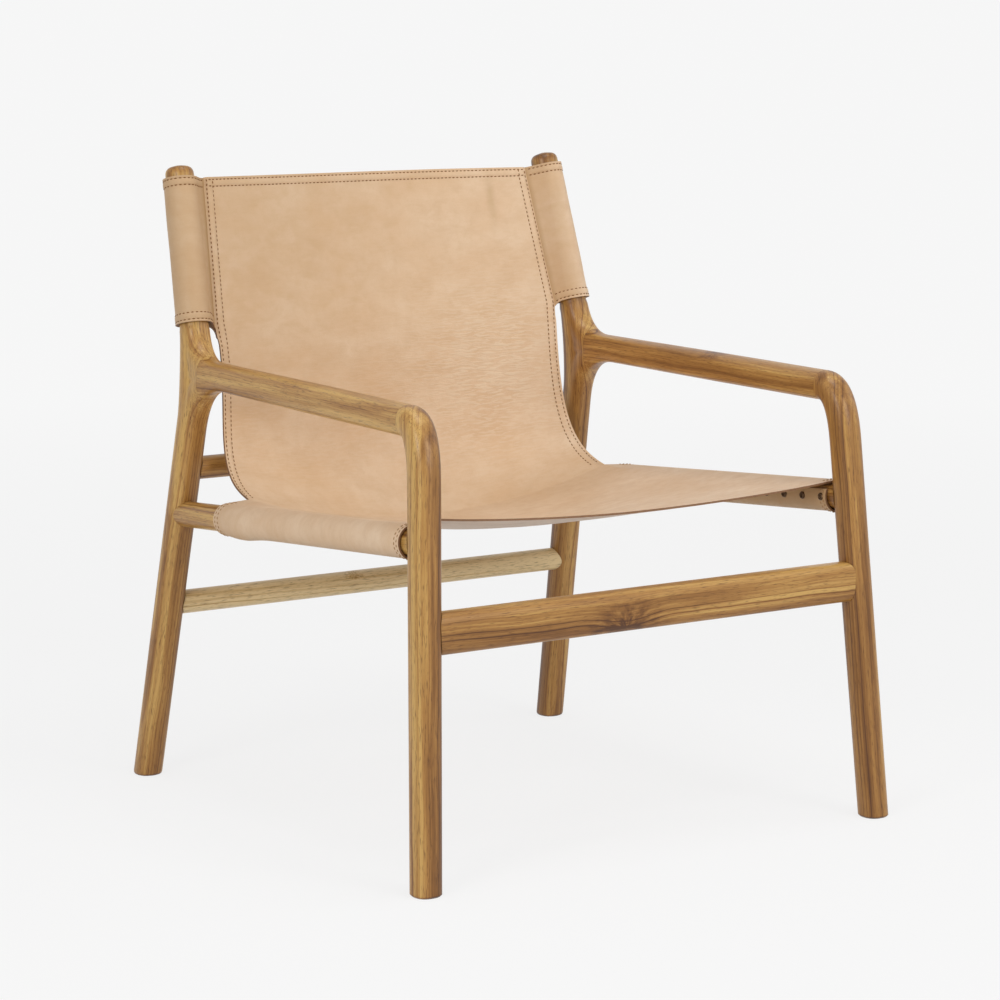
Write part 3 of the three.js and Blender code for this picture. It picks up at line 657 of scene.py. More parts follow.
def section(centre, across, lift, width, height, power, level=None):
    """One rounded cross-section of a timber, as the place of each angle round it.

    Where a level is given, the section's points are slid along the timber to that height.
    """
    def bulge(value):
        return math.copysign(abs(value) ** (2 / power), value)

    def place(angle):
        beside = across * (width / 2 * bulge(math.cos(angle)))
        above = lift * (height / 2 * bulge(math.sin(angle)))
        point = centre + beside + above
        if level is None:
            return point
        along = across.cross(lift)
        return point + along * ((level - point.z) / along.z)

    return place


def timber(flank, centre, along, diameter, power=SQUARENESS, level=None):
    """A cross-section of a timber that lies in its flank's own plane."""
    lift = flank.plane.cross(along.normalized()).normalized()
    return section(centre, flank.plane, lift, diameter, diameter, power, level)


def sweep(bm, stations):
    """Wraps a grid round a row of cross-sections and closes both ends."""
    rows = len(stations) - 1
    grid = bmesh.ops.create_grid(bm, x_segments=TIMBER_SIDES, y_segments=rows, size=0.5)["verts"]
    for v in grid:
        v.co = stations[round((v.co.y + 0.5) * rows)](math.tau * (v.co.x + 0.5))
    close_up(bm, grid)


def bent(before, corner, after, reach_before, reach_after):
    """Places and directions along a corner that is rounded from one reach before it to another after it."""
    start = corner + (before - corner).normalized() * reach_before
    end = corner + (after - corner).normalized() * reach_after
    for i in range(BEND_STEPS + 1):
        t = i / BEND_STEPS
        yield t, rounded(start, corner, end, t), (corner - start) * (1 - t) + (end - corner) * t


def foot_sections(flank, foot, toward, grow=0):
    """A foot's chamfered end, level with the floor."""
    along = toward - foot
    tread = FOOT_DIAMETER - 2 * FOOT_CHAMFER
    steps = [(0, tread), (FOOT_CHAMFER, FOOT_DIAMETER), (FOOT_DARK_BAND, FOOT_DIAMETER)]
    return [timber(flank, foot, along, diameter + grow, level=height) for height, diameter in steps]


def front_leg(bm, flank, grow=0):
    """A front leg with its elbow, up to the glue line of the arm."""
    stations = foot_sections(flank, flank.front_foot, flank.elbow, grow)
    corner = bent(flank.front_foot, flank.elbow, flank.bend, ELBOW_REACH, ELBOW_SEAM - GLUE_LINE)
    stations += [timber(flank, place, along, TIMBER + grow) for _, place, along in corner]
    sweep(bm, stations)


def rear_leg(bm, flank, grow=0):
    """A rear leg, one bent timber from the floor to the domed top of its post."""
    post = (flank.post_top - flank.bend).normalized()
    stations = foot_sections(flank, flank.rear_foot, flank.bend, grow)
    for t, place, along in bent(flank.rear_foot, flank.bend, flank.post_top, BEND_REACH, BEND_REACH):
        diameter = TIMBER + BEND_SWELL * math.sin(math.pi * t)
        power = SQUARENESS + (ROUND - SQUARENESS) * t
        stations.append(timber(flank, place, along, diameter + grow, power))
    for turn in range(0, 90 + 1, DOME_STEP):
        angle = math.radians(turn)
        place = flank.post_top - post * POST_DOME * (1 - math.sin(angle))
        share = 1 - DOME_SHRINK * (1 - math.cos(angle))
        stations.append(timber(flank, place, post, POST_DIAMETER * share + grow, ROUND))
    stations.append(timber(flank, flank.post_top + post * DOME_CROWN, post, CROWN_DIAMETER, ROUND))
    sweep(bm, stations)


def arm_branches(bm, flank):
    """An arm, straight from the elbow, and its two branches into the post and the leg below."""
    start = flank.elbow + flank.arm * ELBOW_SEAM / 2
    neck = flank.bend - flank.arm * LOWER_BRANCH
    middle = start.lerp(neck, 0.5)
    ends = [(start, TIMBER), (middle, TIMBER), (neck, ARM_NECK), (flank.bend, ARM_NECK)]
    sweep(bm, [timber(flank, place, flank.arm, diameter) for place, diameter in ends])
    for end, reach in [(flank.post_top, UPPER_BRANCH), (flank.rear_foot, LOWER_BRANCH)]:
        stations = []
        for t, place, along in bent(flank.elbow, flank.bend, end, reach, reach):
            stations.append(timber(flank, place, along, ARM_NECK + (TIMBER - ARM_NECK) * t))
        sweep(bm, stations)


def cut(bm, place, kept):
    """Keeps what lies on one side of a plane, and closes the cut."""
    everything = [*bm.verts, *bm.edges, *bm.faces]
    made = bmesh.ops.bisect_plane(bm, geom=everything, plane_co=place, plane_no=kept, clear_inner=True)
    edges = [e for e in made["geom_cut"] if isinstance(e, bmesh.types.BMEdge)]
    bmesh.ops.holes_fill(bm, edges=edges, sides=0)


def worked_form(flank):
    """A rear leg and its arm as one carved form with rounded hollows, not yet parted at the glue lines."""
    bm = bmesh.new()
    rear_leg(bm, flank)
    arm_branches(bm, flank)
    form = piece_from(f"worked_form_{flank.name}", bm)
    remesh = form.modifiers.new("one_form", "REMESH")
    remesh.mode = "VOXEL"
    remesh.voxel_size = VOXEL
    rounding = form.modifiers.new("rounding", "SMOOTH")
    rounding.factor = ROUNDING
    rounding.iterations = ROUNDING_PASSES
    return settled(form)


def end_tone(height):
    """How much darker a timber is at a height: at its foot, near the floor, and in its dome, which is oiled
    deeper.
    """
    foot = smoothstep(FOOT_DARK_BAND, 0, height) * FOOT_DARKENING
    dome = smoothstep(POST_HEIGHT - POST_DOME, POST_HEIGHT, height) * END_GRAIN
    return foot + dome


def lay_grain(piece, log, start, along, knot=NO_KNOT, bow=None, dark_and_shaded_side=None):
    """Stores each point's place in the log that a timber was sawn from, its darkness and its place by a knot.

    The log's axis runs along the timber. The wood darkens towards it, or towards a side if one is given,
    where that darkening is partly painted shade.
    In a bent timber the log is bent too, and bow gives how far at a height.
    """
    along = along.normalized()
    upright = abs(along.z) > UPRIGHT
    right = (REAR if upright else -UP).cross(along).normalized()
    lift = along.cross(right) if upright else right.cross(along)
    axes = Matrix((right, lift, along))
    points = [v.co for v in piece.data.vertices]
    places = [axes @ (point - start - (bow(point.z) if bow else Vector())) for point in points]

    pith = Vector((*(distance * MM for distance in log.pith), 0))
    darker = (dark_and_shaded_side or pith).normalized() * log.heart / TIMBER
    darker.z = -log.fade
    tones = [log.tone + place.dot(darker) + end_tone(point.z) for place, point in zip(places, points)]
    store(piece, "tone", "FLOAT", tones)

    log_end = Vector((0, 0, len(bpy.data.objects) * LOG_SPACING))  # each timber comes from another log
    store(piece, "grain", "FLOAT_VECTOR", [x for place in places for x in place - pith + log_end])

    knot_place, knot_size = knot
    centre = axes @ (knot_place - start)
    offsets = []
    for place in places:
        offset = (place - centre) / knot_size
        offsets += [offset.x, offset.y, offset.z / KNOT_STRETCH]
    store(piece, "knot", "FLOAT_VECTOR", offsets)


def bow_of(flank, height):
    """How far a rear leg's axis lies from the straight line between its ends, at a height."""
    straight = flank.rear_foot.y + (flank.post_top.y - flank.rear_foot.y) * height / POST_HEIGHT
    leg = flank.rear_foot.y - BEND_ADVANCE * height / BEND_HEIGHT
    post = flank.bend.y + POST_RAKE * (height - BEND_HEIGHT) / (POST_HEIGHT - BEND_HEIGHT)
    axis = (leg + post + math.hypot(leg - post, BEND_SOFTNESS)) / 2
    return Vector((0, axis - straight, 0))


def make_front_leg(flank):
    name = f"front_leg_{flank.name}"
    bm = bmesh.new()
    front_leg(bm, flank)
    leg = piece_from(f"{name}_worked", bm, TEAK)
    # darker on the side that faces into the chair: the wood's own heart, and painted shade
    inside = Vector((-flank.side, 0, 0))
    lay_grain(leg, LOGS[name], flank.front_foot, flank.elbow - flank.front_foot, dark_and_shaded_side=inside)
    fitted(leg, "teak", name)


def make_arm(flank, form, seam):
    """An arm, parted from the worked form at both glue lines. The right one has a knot on top."""
    name = f"arm_{flank.name}"
    bm = bmesh.new()
    bm.from_mesh(form.data)
    cut(bm, flank.elbow + flank.arm * ELBOW_SEAM, flank.arm)
    cut(bm, seam - flank.arm * GLUE_LINE / 2, -flank.arm)
    arm = piece_from(f"{name}_worked", bm, TEAK)
    on_top = flank.elbow.lerp(flank.bend, ARM_KNOT_PLACE) + UP * TIMBER / 2
    knot = (on_top, ARM_KNOT_SIZE) if flank is RIGHT else NO_KNOT
    lay_grain(arm, LOGS[name], flank.elbow, flank.arm, knot)
    fitted(arm, "teak", name)


def make_rear_leg(flank, form, seam):
    """A rear leg, the rest of the worked form."""
    name = f"rear_leg_{flank.name}"
    bm = bmesh.new()
    bm.from_mesh(form.data)
    cut(bm, seam + flank.arm * GLUE_LINE / 2, flank.arm)
    leg = piece_from(f"{name}_worked", bm, TEAK)
    along = flank.post_top - flank.rear_foot
    lay_grain(leg, LOGS[name], flank.rear_foot, along, bow=partial(bow_of, flank))
    fitted(leg, "teak", name)


def cross_bar(name, ends, legs, width, height, power=ROUND, knot=NO_KNOT, material=TEAK, slot="teak"):
    """A rail or stretcher, coped over the legs at its ends."""
    start, end = ends
    along = (end - start).normalized()
    across = along.cross(UP).normalized()
    bm = bmesh.new()
    sweep(bm, [section(place, across, across.cross(along), width, height, power) for place in ends])
    bar = piece_from(f"{name}_turned", bm, material)
    copes = []
    for flank, leg in legs:
        bm = bmesh.new()
        leg(bm, flank, 2 * COPE_GAP)
        copes.append(piece_from(f"{name}_cope_{len(copes)}", bm))
        trim = bar.modifiers.new("cope", "BOOLEAN")
        trim.operation = "DIFFERENCE"
        trim.solver = "EXACT"
        trim.object = copes[-1]
    settled(bar)
    for cope in copes:
        bpy.data.objects.remove(cope)
    lay_grain(bar, LOGS[name], start, along, knot)
    fitted(bar, slot, name)


def make_front_stretcher():
    """The flat bar under the seat's front edge, with a burl on its face."""
    ends = [front_at(flank, FRONT_STRETCHER_HEIGHT) for flank in FLANKS]
    legs = [(flank, front_leg) for flank in FLANKS]
    burl = ends[0].lerp(ends[1], BURL_PLACE) - Vector((0, FRONT_STRETCHER_THICKNESS / 2, BURL_DROP))
    cross_bar(
        "front_stretcher", ends, legs, FRONT_STRETCHER_THICKNESS, FRONT_STRETCHER_DEPTH,
        STRETCHER_SQUARENESS, (burl, BURL_SIZE),
    )


def make_rear_bars():
    """The pale stretcher with its pin knot, and the rail behind the back."""
    legs = [(flank, rear_leg) for flank in FLANKS]
    ends = [rear_at(flank, REAR_STRETCHER_HEIGHT) for flank in FLANKS]
    pin_knot = ends[0].lerp(ends[1], PIN_KNOT_PLACE) + PIN_KNOT_OFFSET
    cross_bar(
        "rear_stretcher", ends, legs, REAR_STRETCHER_DIAMETER, REAR_STRETCHER_DIAMETER,
        knot=(pin_knot, PIN_KNOT_SIZE), material=PALE_TEAK, slot="pale_teak",
    )
    ends = [rear_at(flank, SIDE_RAIL_REAR_HEIGHT + REAR_RAIL_RISE) for flank in FLANKS]
    cross_bar("rear_rail", ends, legs, REAR_RAIL_DIAMETER, REAR_RAIL_DIAMETER)


def make_side_rail(flank):
    ends = [front_at(flank, SIDE_RAIL_FRONT_HEIGHT), rear_at(flank, SIDE_RAIL_REAR_HEIGHT)]
    legs = [(flank, front_leg), (flank, rear_leg)]
    cross_bar(f"side_rail_{flank.name}", ends, legs, SIDE_RAIL_DIAMETER, SIDE_RAIL_DIAMETER)


for flank in FLANKS:
    make_front_leg(flank)
    form = worked_form(flank)
    seam = flank.bend - flank.arm * ARM_SEAM
    make_arm(flank, form, seam)
    make_rear_leg(flank, form, seam)
    bpy.data.objects.remove(form)
make_front_stretcher()
make_rear_bars()
for flank in FLANKS:
    make_side_rail(flank)
for name, node in frame["nodes"].items():
    if "dowel" in name:
        node.data.materials.clear()
        node.data.materials.append(BEECH)


# The hide

def rail_axes(flank):
    """A side rail's own axes: along it to the rear, in towards the middle of the chair, and up."""
    start = front_at(flank, SIDE_RAIL_FRONT_HEIGHT)
    end = rear_at(flank, SIDE_RAIL_REAR_HEIGHT)
    along = (end - start).normalized()
    inward = UP.cross(along).normalized() * flank.side
    up = along.cross(inward) * flank.side
    return SimpleNamespace(start=start, along=along, inward=inward, up=up, length=(end - start).length)


def post_axes(flank):
    """A post's own axes: up along it, along the sleeve's tab to the panel, and to the front of that tab."""
    along = flank.post_top - flank.bend
    end = along.length - POST_PROUD
    along.normalize()
    inward = Vector((-flank.side, 0, 0))
    back = (inward.cross(along) * flank.side).normalized()
    inward = (along.cross(back) * flank.side).normalized()
    slope = math.atan(4 * BACK_BOW / (POST_SPREAD - 2 * PANEL_INSET))  # of the bowed panel at its edge
    tab = inward * math.cos(slope) + back * math.sin(slope)
    front = inward * math.sin(slope) - back * math.cos(slope)
    start = max(UPPER_BRANCH, BEND_REACH) + SLEEVE_CLEAR
    return SimpleNamespace(base=flank.bend, along=along, tab=tab, front=front, start=start, end=end)


def seam_inset(share):
    """Distance of the panel's edge from the post's axis, by the share of the sleeve's height."""
    return NECK_INSET + (PANEL_INSET - NECK_INSET) * share


def spaced(length):
    """Distances along a length, about a sheet's step apart, and finer ones over the hem at its end."""
    plain = length - HEM_STEPS[-1]
    count = round(plain / SHEET_STEP)
    even = [plain * i / count for i in range(count + 1)]
    return even + [length - d for d in reversed(HEM_STEPS[:-1])]


def hide_rows():
    """Rows across the hide, from the seat's front edge to the top of the back, each by its right edge."""
    rail = rail_axes(RIGHT)
    post = post_axes(RIGHT)
    radius = SIDE_RAIL_DIAMETER / 2 + WRAP_SLACK + HIDE / 2
    wrap = rail.length - WRAP_START - WRAP_END
    sleeve = post.end - post.start

    def seat_row(distance):
        t = distance / wrap
        axis = rail.start + rail.along * (WRAP_START + distance)
        drop = EDGE_DROP * math.sin(math.pi * t) + FRONT_DROP * (1 - t) ** DROP_FADE
        rise = radius + HEM_LIFT * t * t - drop
        edge = axis + rail.inward * SHOULDER + rail.up * rise
        sag = FRONT_SAG + (SEAT_SAG - FRONT_SAG) * math.sin(math.pi * t / 2)
        ahead = wrap - distance
        return SimpleNamespace(edge=edge, sag=sag, axis=axis, rise=rise, ahead=ahead, behind=distance)

    def panel_at(distance):
        inset = seam_inset(distance / sleeve)
        foot = post.base + post.along * (post.start + distance)
        return foot + post.tab * inset + post.front * PANEL_STANDOFF

    rows = [seat_row(distance) for distance in sorted({*HEM_STEPS, *spaced(wrap)})]
    hem = rows[-1].edge
    neck = panel_at(0)
    pulls = [
        hem,
        hem + Vector((0, HEEL_REACH, HEEL_RISE)),
        neck - Vector((WAIST_PINCH, WAIST_LEAN, WAIST_DROP)),
        neck,
    ]
    steps = round((neck - hem).length * WAIST_ARC / SHEET_STEP)
    for i in range(1, steps + 1):
        t = i / steps
        shares = [(1 - t) ** 3, 3 * t * (1 - t) ** 2, 3 * t * t * (1 - t), t ** 3]
        edge = sum((pull * share for pull, share in zip(pulls, shares)), Vector())
        sag = BACK_BOW + (SEAT_SAG - BACK_BOW) * (1 - t) ** SAG_FADE
        rows.append(SimpleNamespace(edge=edge, sag=sag, axis=None))
    neck_row = rows[-1]
    for distance in spaced(sleeve)[1:]:
        crown = post.along * TOP_CROWN * (distance / sleeve) ** 2
        rows.append(SimpleNamespace(edge=panel_at(distance), sag=BACK_BOW, axis=None, crown=crown))

    walked = 0
    for row, last in zip(rows, [rows[0], *rows]):
        walked += (row.edge - last.edge).length
        row.walked = walked
    for row in rows:
        near = [other.edge for other in rows if abs(other.walked - row.walked) <= LEAN_SPAN]
        row.lean = (near[-1] - near[0]).yz.normalized()
        row.rail = rail
        row.radius = radius
        row.sewn = smoothstep(SEWN_START, SEWN_FULL, row.walked - neck_row.walked)
        row.crown = getattr(row, "crown", Vector())
    return rows


def hide_columns(half_width):
    """Columns across the hide: up to 1 from the middle to the edge, up to 2 round the rail to the flap."""
    inner = half_width - HEM_STEPS[-1]
    count = round(inner / SHEET_STEP)
    panel = [inner * i / count / half_width for i in range(count)]
    panel += [1 - d / half_width for d in reversed(HEM_STEPS)]
    wing = [1 + (i + 1) / WING_COLUMNS for i in range(WING_COLUMNS)]
    half = panel + wing
    return [-c for c in reversed(half[1:])] + half


def wing_place(row, share):
    """A place on a row's wrap: straight from the shoulder to the rail, then round it to the flap's edge."""
    away = math.hypot(SHOULDER, row.rise)
    leave = math.atan2(row.rise, SHOULDER) + math.acos(min(row.radius / away, 1))
    finish = math.tau + math.asin(FLAP_RISE / row.radius)
    turn = max(share - WING_STRAIGHT, 0) / (1 - WING_STRAIGHT)
    angle = leave + (finish - leave) * turn
    slack = REAR_BULGE * bell(row.ahead - BULGE_PLACE, BULGE_LENGTH) * math.sin(math.pi * turn) ** 2
    slack += END_FLARE * bell(row.behind, FLARE_LENGTH) * math.sin(math.pi * turn)
    radius = row.radius + slack
    place = row.axis + row.rail.inward * (radius * math.cos(angle)) + row.rail.up * (radius * math.sin(angle))
    return place if turn > 0 else row.edge.lerp(place, share / WING_STRAIGHT)


def panel_place(row, u):
    """A place on a row between its two edges, sunk towards the middle."""
    sink = row.sag * (1 - u * u)
    rise = row.crown * (1 - u * u)
    y = row.edge.y + row.lean.y * sink + rise.y
    z = row.edge.z - row.lean.x * sink + rise.z
    return Vector((u * row.edge.x, y, z))


def seat_place(row, c, left):
    """A place on the seat or a wrap, with the turn between them rounded off ahead of the rear hem."""
    place = panel_place(row, c) if c <= 1 else wing_place(row, c - 1)
    inside = (1 - c) * row.edge.x
    turn = 0.5 + 0.5 * inside / SHOULDER_EASE if c <= 1 else 0.5 - 0.5 * (c - 1) / WING_STRAIGHT
    if 0 < turn < 1:
        on_seat = panel_place(row, 1 - SHOULDER_EASE / row.edge.x)
        on_rail = wing_place(row, WING_STRAIGHT)
        eased = rounded(on_rail, row.edge, on_seat, turn)
        place = place.lerp(eased, smoothstep(0, EASE_FADE, row.ahead))
    if left:
        spread = min(c, 1) ** LIFT_SPREAD * min(max(1 - (c - 1) / WING_STRAIGHT, 0), 1)
        place.z += FRONT_LIFT * spread * bell(row.behind, LIFT_DEPTH)
    return place


def hide_place(row, column):
    """A place on the hide, on the seat, a wrap or the back."""
    c = abs(column)
    left = column < 0
    place = panel_place(row, min(c, 1)) if row.axis is None else seat_place(row, c, left)
    if left:
        place += row.crown * LEFT_CORNER * min(c, 1) ** 2
    return Vector((math.copysign(1, column) * place.x, place.y, place.z))


def hem_rise(distance):
    """How far a doubled edge stands proud, by the distance from its cut edge. Its stitches pull it down."""
    band = smoothstep(HEM_END, HEM_FULL, distance)
    pulled = bell(distance - OUTER_ROW, PULL_WIDTH) + bell(distance - INNER_ROW, PULL_WIDTH)
    return HEM_PROUD * (band - STITCH_PULL * pulled)


def swell_at(place, swells):
    """How far uneven leather rises at a place."""
    return sum(noise.noise(place / size) * height for size, height in swells)


def leather_sheet(name, bm, lay, strain, tone):
    """Gives a sheet of leather its thickness, a grain side, a flesh side and cut edges."""
    piece = piece_from(name, bm, *LEATHER)
    store(piece, "lay", "FLOAT_VECTOR", lay)
    store(piece, "strain", "FLOAT", strain)
    store(piece, "tone", "FLOAT", tone)
    area = sum(face.area for face in piece.data.polygons)
    wall = piece.modifiers.new("thickness", "SOLIDIFY")
    wall.thickness = HIDE
    wall.offset = 0
    wall.material_offset = 1
    wall.material_offset_rim = 2
    return settled(piece), area


def sew(bm, line):
    """Lays stitches along a line of places, each with its outward direction."""
    due = STITCH_PITCH / 2
    for (a, out_a), (b, out_b) in zip(line, line[1:]):
        span = (b - a).length
        along = (b - a).normalized()
        while due <= span:
            out = out_a.lerp(out_b, due / span).normalized()
            across = out.cross(along).normalized()
            axes = Matrix((along * STITCH_LENGTH / 2, across * THREAD / 2, out * THREAD / 2))
            shape = axes.transposed().to_4x4()
            shape.translation = a.lerp(b, due / span)
            bmesh.ops.create_icosphere(bm, subdivisions=1, radius=1, matrix=shape)
            due += STITCH_PITCH
        due -= span


def through(v, offset):
    """Where a stitch comes out of the leather at a point, to its front or back, and the outward direction."""
    return v.co + v.normal * offset, v.normal * math.copysign(1, offset)


def thread_piece(name, lines, material):
    """Rows of stitches as one piece."""
    bm = bmesh.new()
    for line in lines:
        sew(bm, line)
    piece = piece_from(name, bm, material)
    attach(piece, "root")
    return piece


def strain_at(place, heel):
    """How much the grain has creased: most at the back's lower right, some all over its lower half."""
    above = place.y - heel
    right = bell(place.x - CREASED.right, CREASED.width) * bell(above - CREASED.above, CREASED.height)
    low = bell(above - LOW_CREASED.above, LOW_CREASED.height)
    return min(CREASE_LEAST + CREASE_MOST * right + CREASE_LOW * low, 1)


def shade_at(place, heel, top):
    """How much darker the hide is: a drip stain, and painted shade at the heel, the back's left and top, the
    seat's right side and the flaps.
    """
    above = place.y - heel
    back = smoothstep(BACK_START, BACK_FULL, above)
    high = smoothstep(0, HIGH_FULL, above)
    left = smoothstep(LEFT_START, LEFT_FULL, place.x)
    shares = {
        "drip": bell(place.x - DRIP.right, DRIP.width) * bell(top - place.y - DRIP.below, DRIP.height),
        "left": left * back * (LEFT_LEAST + (1 - LEFT_LEAST) * high),
        "high": high,
        "heel": bell(above, HEEL_HEIGHT),
        "seat": smoothstep(0, SEAT_FULL, place.x) * (1 - back),
        "flap": smoothstep(FLAP_START, FLAP_FULL, abs(place.x)),
    }
    return sum(STAIN_AND_SHADE[part] * share for part, share in shares.items())


def spread_hide(bm, rows, columns):
    """Spreads a grid over the rows and columns, and returns its points by row and column."""
    across, down = len(columns) - 1, len(rows) - 1
    grid = bmesh.ops.create_grid(bm, x_segments=across, y_segments=down, size=0.5)["verts"]
    spots = {}
    for v in grid:
        spots[round((v.co.y + 0.5) * down), round((v.co.x + 0.5) * across)] = v
    for (i, k), v in spots.items():
        v.co = hide_place(rows[i], columns[k])
    beyond = {v for (i, k), v in spots.items() if rows[i].axis is None and abs(columns[k]) > 1}
    loose = [face for face in bm.faces if any(v in beyond for v in face.verts)]
    bmesh.ops.delete(bm, geom=loose, context="FACES")
    bm.normal_update()
    return {key: v for key, v in spots.items() if v.is_valid}


def flat_place(row, column):
    """A place on the hide before it was hung: across it, and along it from the front edge."""
    u = min(abs(column), 1)
    round_rail = max(abs(column) - 1, 0) * (SHOULDER + row.radius * WRAP_TURN)
    return Vector((math.copysign(u * row.edge.x + round_rail, column), row.walked, 0))


def relief(row, column, place, heel, top):
    """How far the hide stands out at a place: at its doubled edges and swells, less where it is tucked."""
    from_edge = (1 - min(abs(column), 1)) * row.edge.x
    from_top = top - row.walked
    rise = 0
    if row.axis is None:
        rise = hem_rise(from_edge) * smoothstep(heel + FREE_START, heel + FREE_FULL, row.walked)
        if from_top < TOP_HEM:
            rise = max(rise, hem_rise(from_top))
    quiet = smoothstep(0, QUIET_EDGE, from_edge) * smoothstep(0, QUIET_EDGE, from_top)
    quiet *= smoothstep(0, QUIET_FRONT, row.walked)
    tuck = (HIDE + HIDE_GAP) * row.sewn * smoothstep(TUCK, 0, from_edge)
    return rise + swell_at(place, HIDE_SWELLS) * quiet - tuck


def seam_lines(rows, columns, spots):
    """Stitches along the sides and the top of the back, on its front and its rear."""
    walked = [row.walked for row in rows]
    top = walked[-1]
    half_width = rows[-1].edge.x
    first = sum(row.axis is not None for row in rows) + 1  # the back's second row
    sides = [i for i in range(first, len(rows)) if walked[i] < top - OUTER_ROW]
    inside = [k for k, column in enumerate(columns) if abs(column) < 1 - OUTER_ROW / half_width]
    skin = HIDE / 2
    sleeve = 2 * (HIDE + HIDE_GAP)
    lines = []
    for distance in (OUTER_ROW, INNER_ROW):
        k = nearest(columns, 1 - distance / half_width)
        for column in (k, len(columns) - 1 - k):
            lines.append([through(spots[i, column], skin) for i in sides])
            rear = [skin + sleeve if rows[i].sewn > 0.5 else skin for i in sides]
            lines.append([through(spots[i, column], -depth) for i, depth in zip(sides, rear)])
        i = nearest(walked, top - distance)
        lines.append([through(spots[i, k], skin) for k in inside])
        lines.append([through(spots[i, k], -skin) for k in inside])
    return lines


def wrap_lines(rows, columns, spots, heel):
    """Stitches round both wraps, along their front and rear hems."""
    walked = [row.walked for row in rows]
    lines = []
    for distance in (WRAP_ROW, INNER_ROW):
        for level in (distance, heel - distance):
            i = nearest(walked, level)
            for side in SIDES.values():
                wing = [k for k, column in enumerate(columns) if 1 + WING_STRAIGHT / 2 < side * column <= 2]
                lines.append([through(spots[i, k], HIDE / 2) for k in wing])
    return lines


def make_hide():
    """The hide: seat, back and both wraps, cut in one piece, with its stitch rows."""
    rows = hide_rows()
    columns = hide_columns(rows[-1].edge.x)
    heel = max(row.walked for row in rows if row.axis is not None)
    top = rows[-1].walked
    bm = bmesh.new()
    spots = spread_hide(bm, rows, columns)
    places, moves = {}, {}
    for (i, k), v in spots.items():
        places[v] = flat_place(rows[i], columns[k])
        moves[v] = relief(rows[i], columns[k], places[v], heel, top)
    for v, rise in moves.items():
        v.co += v.normal * rise
    bm.normal_update()
    seams = seam_lines(rows, columns, spots)
    hems = wrap_lines(rows, columns, spots, heel)

    lay = [x for v in bm.verts for x in places[v]]
    strain = [strain_at(places[v], heel) for v in bm.verts]
    tone = [shade_at(places[v], heel, top) for v in bm.verts]
    piece, area = leather_sheet("hide_slung", bm, lay, strain, tone)
    fitted(piece, "leather", "hide")
    threads = [
        thread_piece("hide_seam_thread", seams, SEAM_THREAD),
        thread_piece("hide_hem_thread", hems, HEM_THREAD),
    ]


# The sleeves

def sleeve_profile(inset, slack):
    """Places round a sleeve, along its tab and to the front.

    They run from the tab's front layer, round the post, to its back layer.
    """
    ring = POST_DIAMETER / 2 + slack + HIDE / 2
    layer = (HIDE + LAYER_GAP) / 2
    meet = Vector((inset - HIDE, layer))
    touch = math.atan2(meet.y, meet.x) + math.acos(ring / meet.length)
    contact = Vector((math.cos(touch), math.sin(touch))) * ring
    tab = [Vector((meet.x + SLEEVE_LAP * (1 - i / TAB_STEPS), layer)) for i in range(TAB_FLAT + 1)]
    fold_end = meet.lerp(contact, FOLD_REACH)
    fold = [rounded(tab[-1], meet, fold_end, (i + 1) / FOLD_STEPS) for i in range(FOLD_STEPS)]
    loop = []
    for i in range(LOOP_STEPS + 1):
        angle = touch + (math.pi - touch) * i / LOOP_STEPS
        loop.append(Vector((math.cos(angle), math.sin(angle))) * ring)
    front = tab + fold + loop
    return front + [Vector((p.x, -p.y)) for p in reversed(front[:-1])]


def sleeve_shade(flank, spot, inset):
    """How much darker than the hide a sleeve is at a place of its profile, with painted shade where it turns
    to the panel and in the fold at the seam, and a painted highlight on the right one's outer side.
    """
    shade = SLEEVE_DARKENING[flank.name]
    if spot.y > 0:
        shade += TURN_PAINTED_SHADE * smoothstep(TURN_START, TURN_FULL, spot.x)
        shade += FOLD_PAINTED_SHADE * smoothstep(inset - FOLD_WIDTH, inset, spot.x)
    if flank is RIGHT:
        shade -= RIM_PAINTED_HIGHLIGHT * smoothstep(RIM_START, RIM_FULL, spot.x)
    return shade


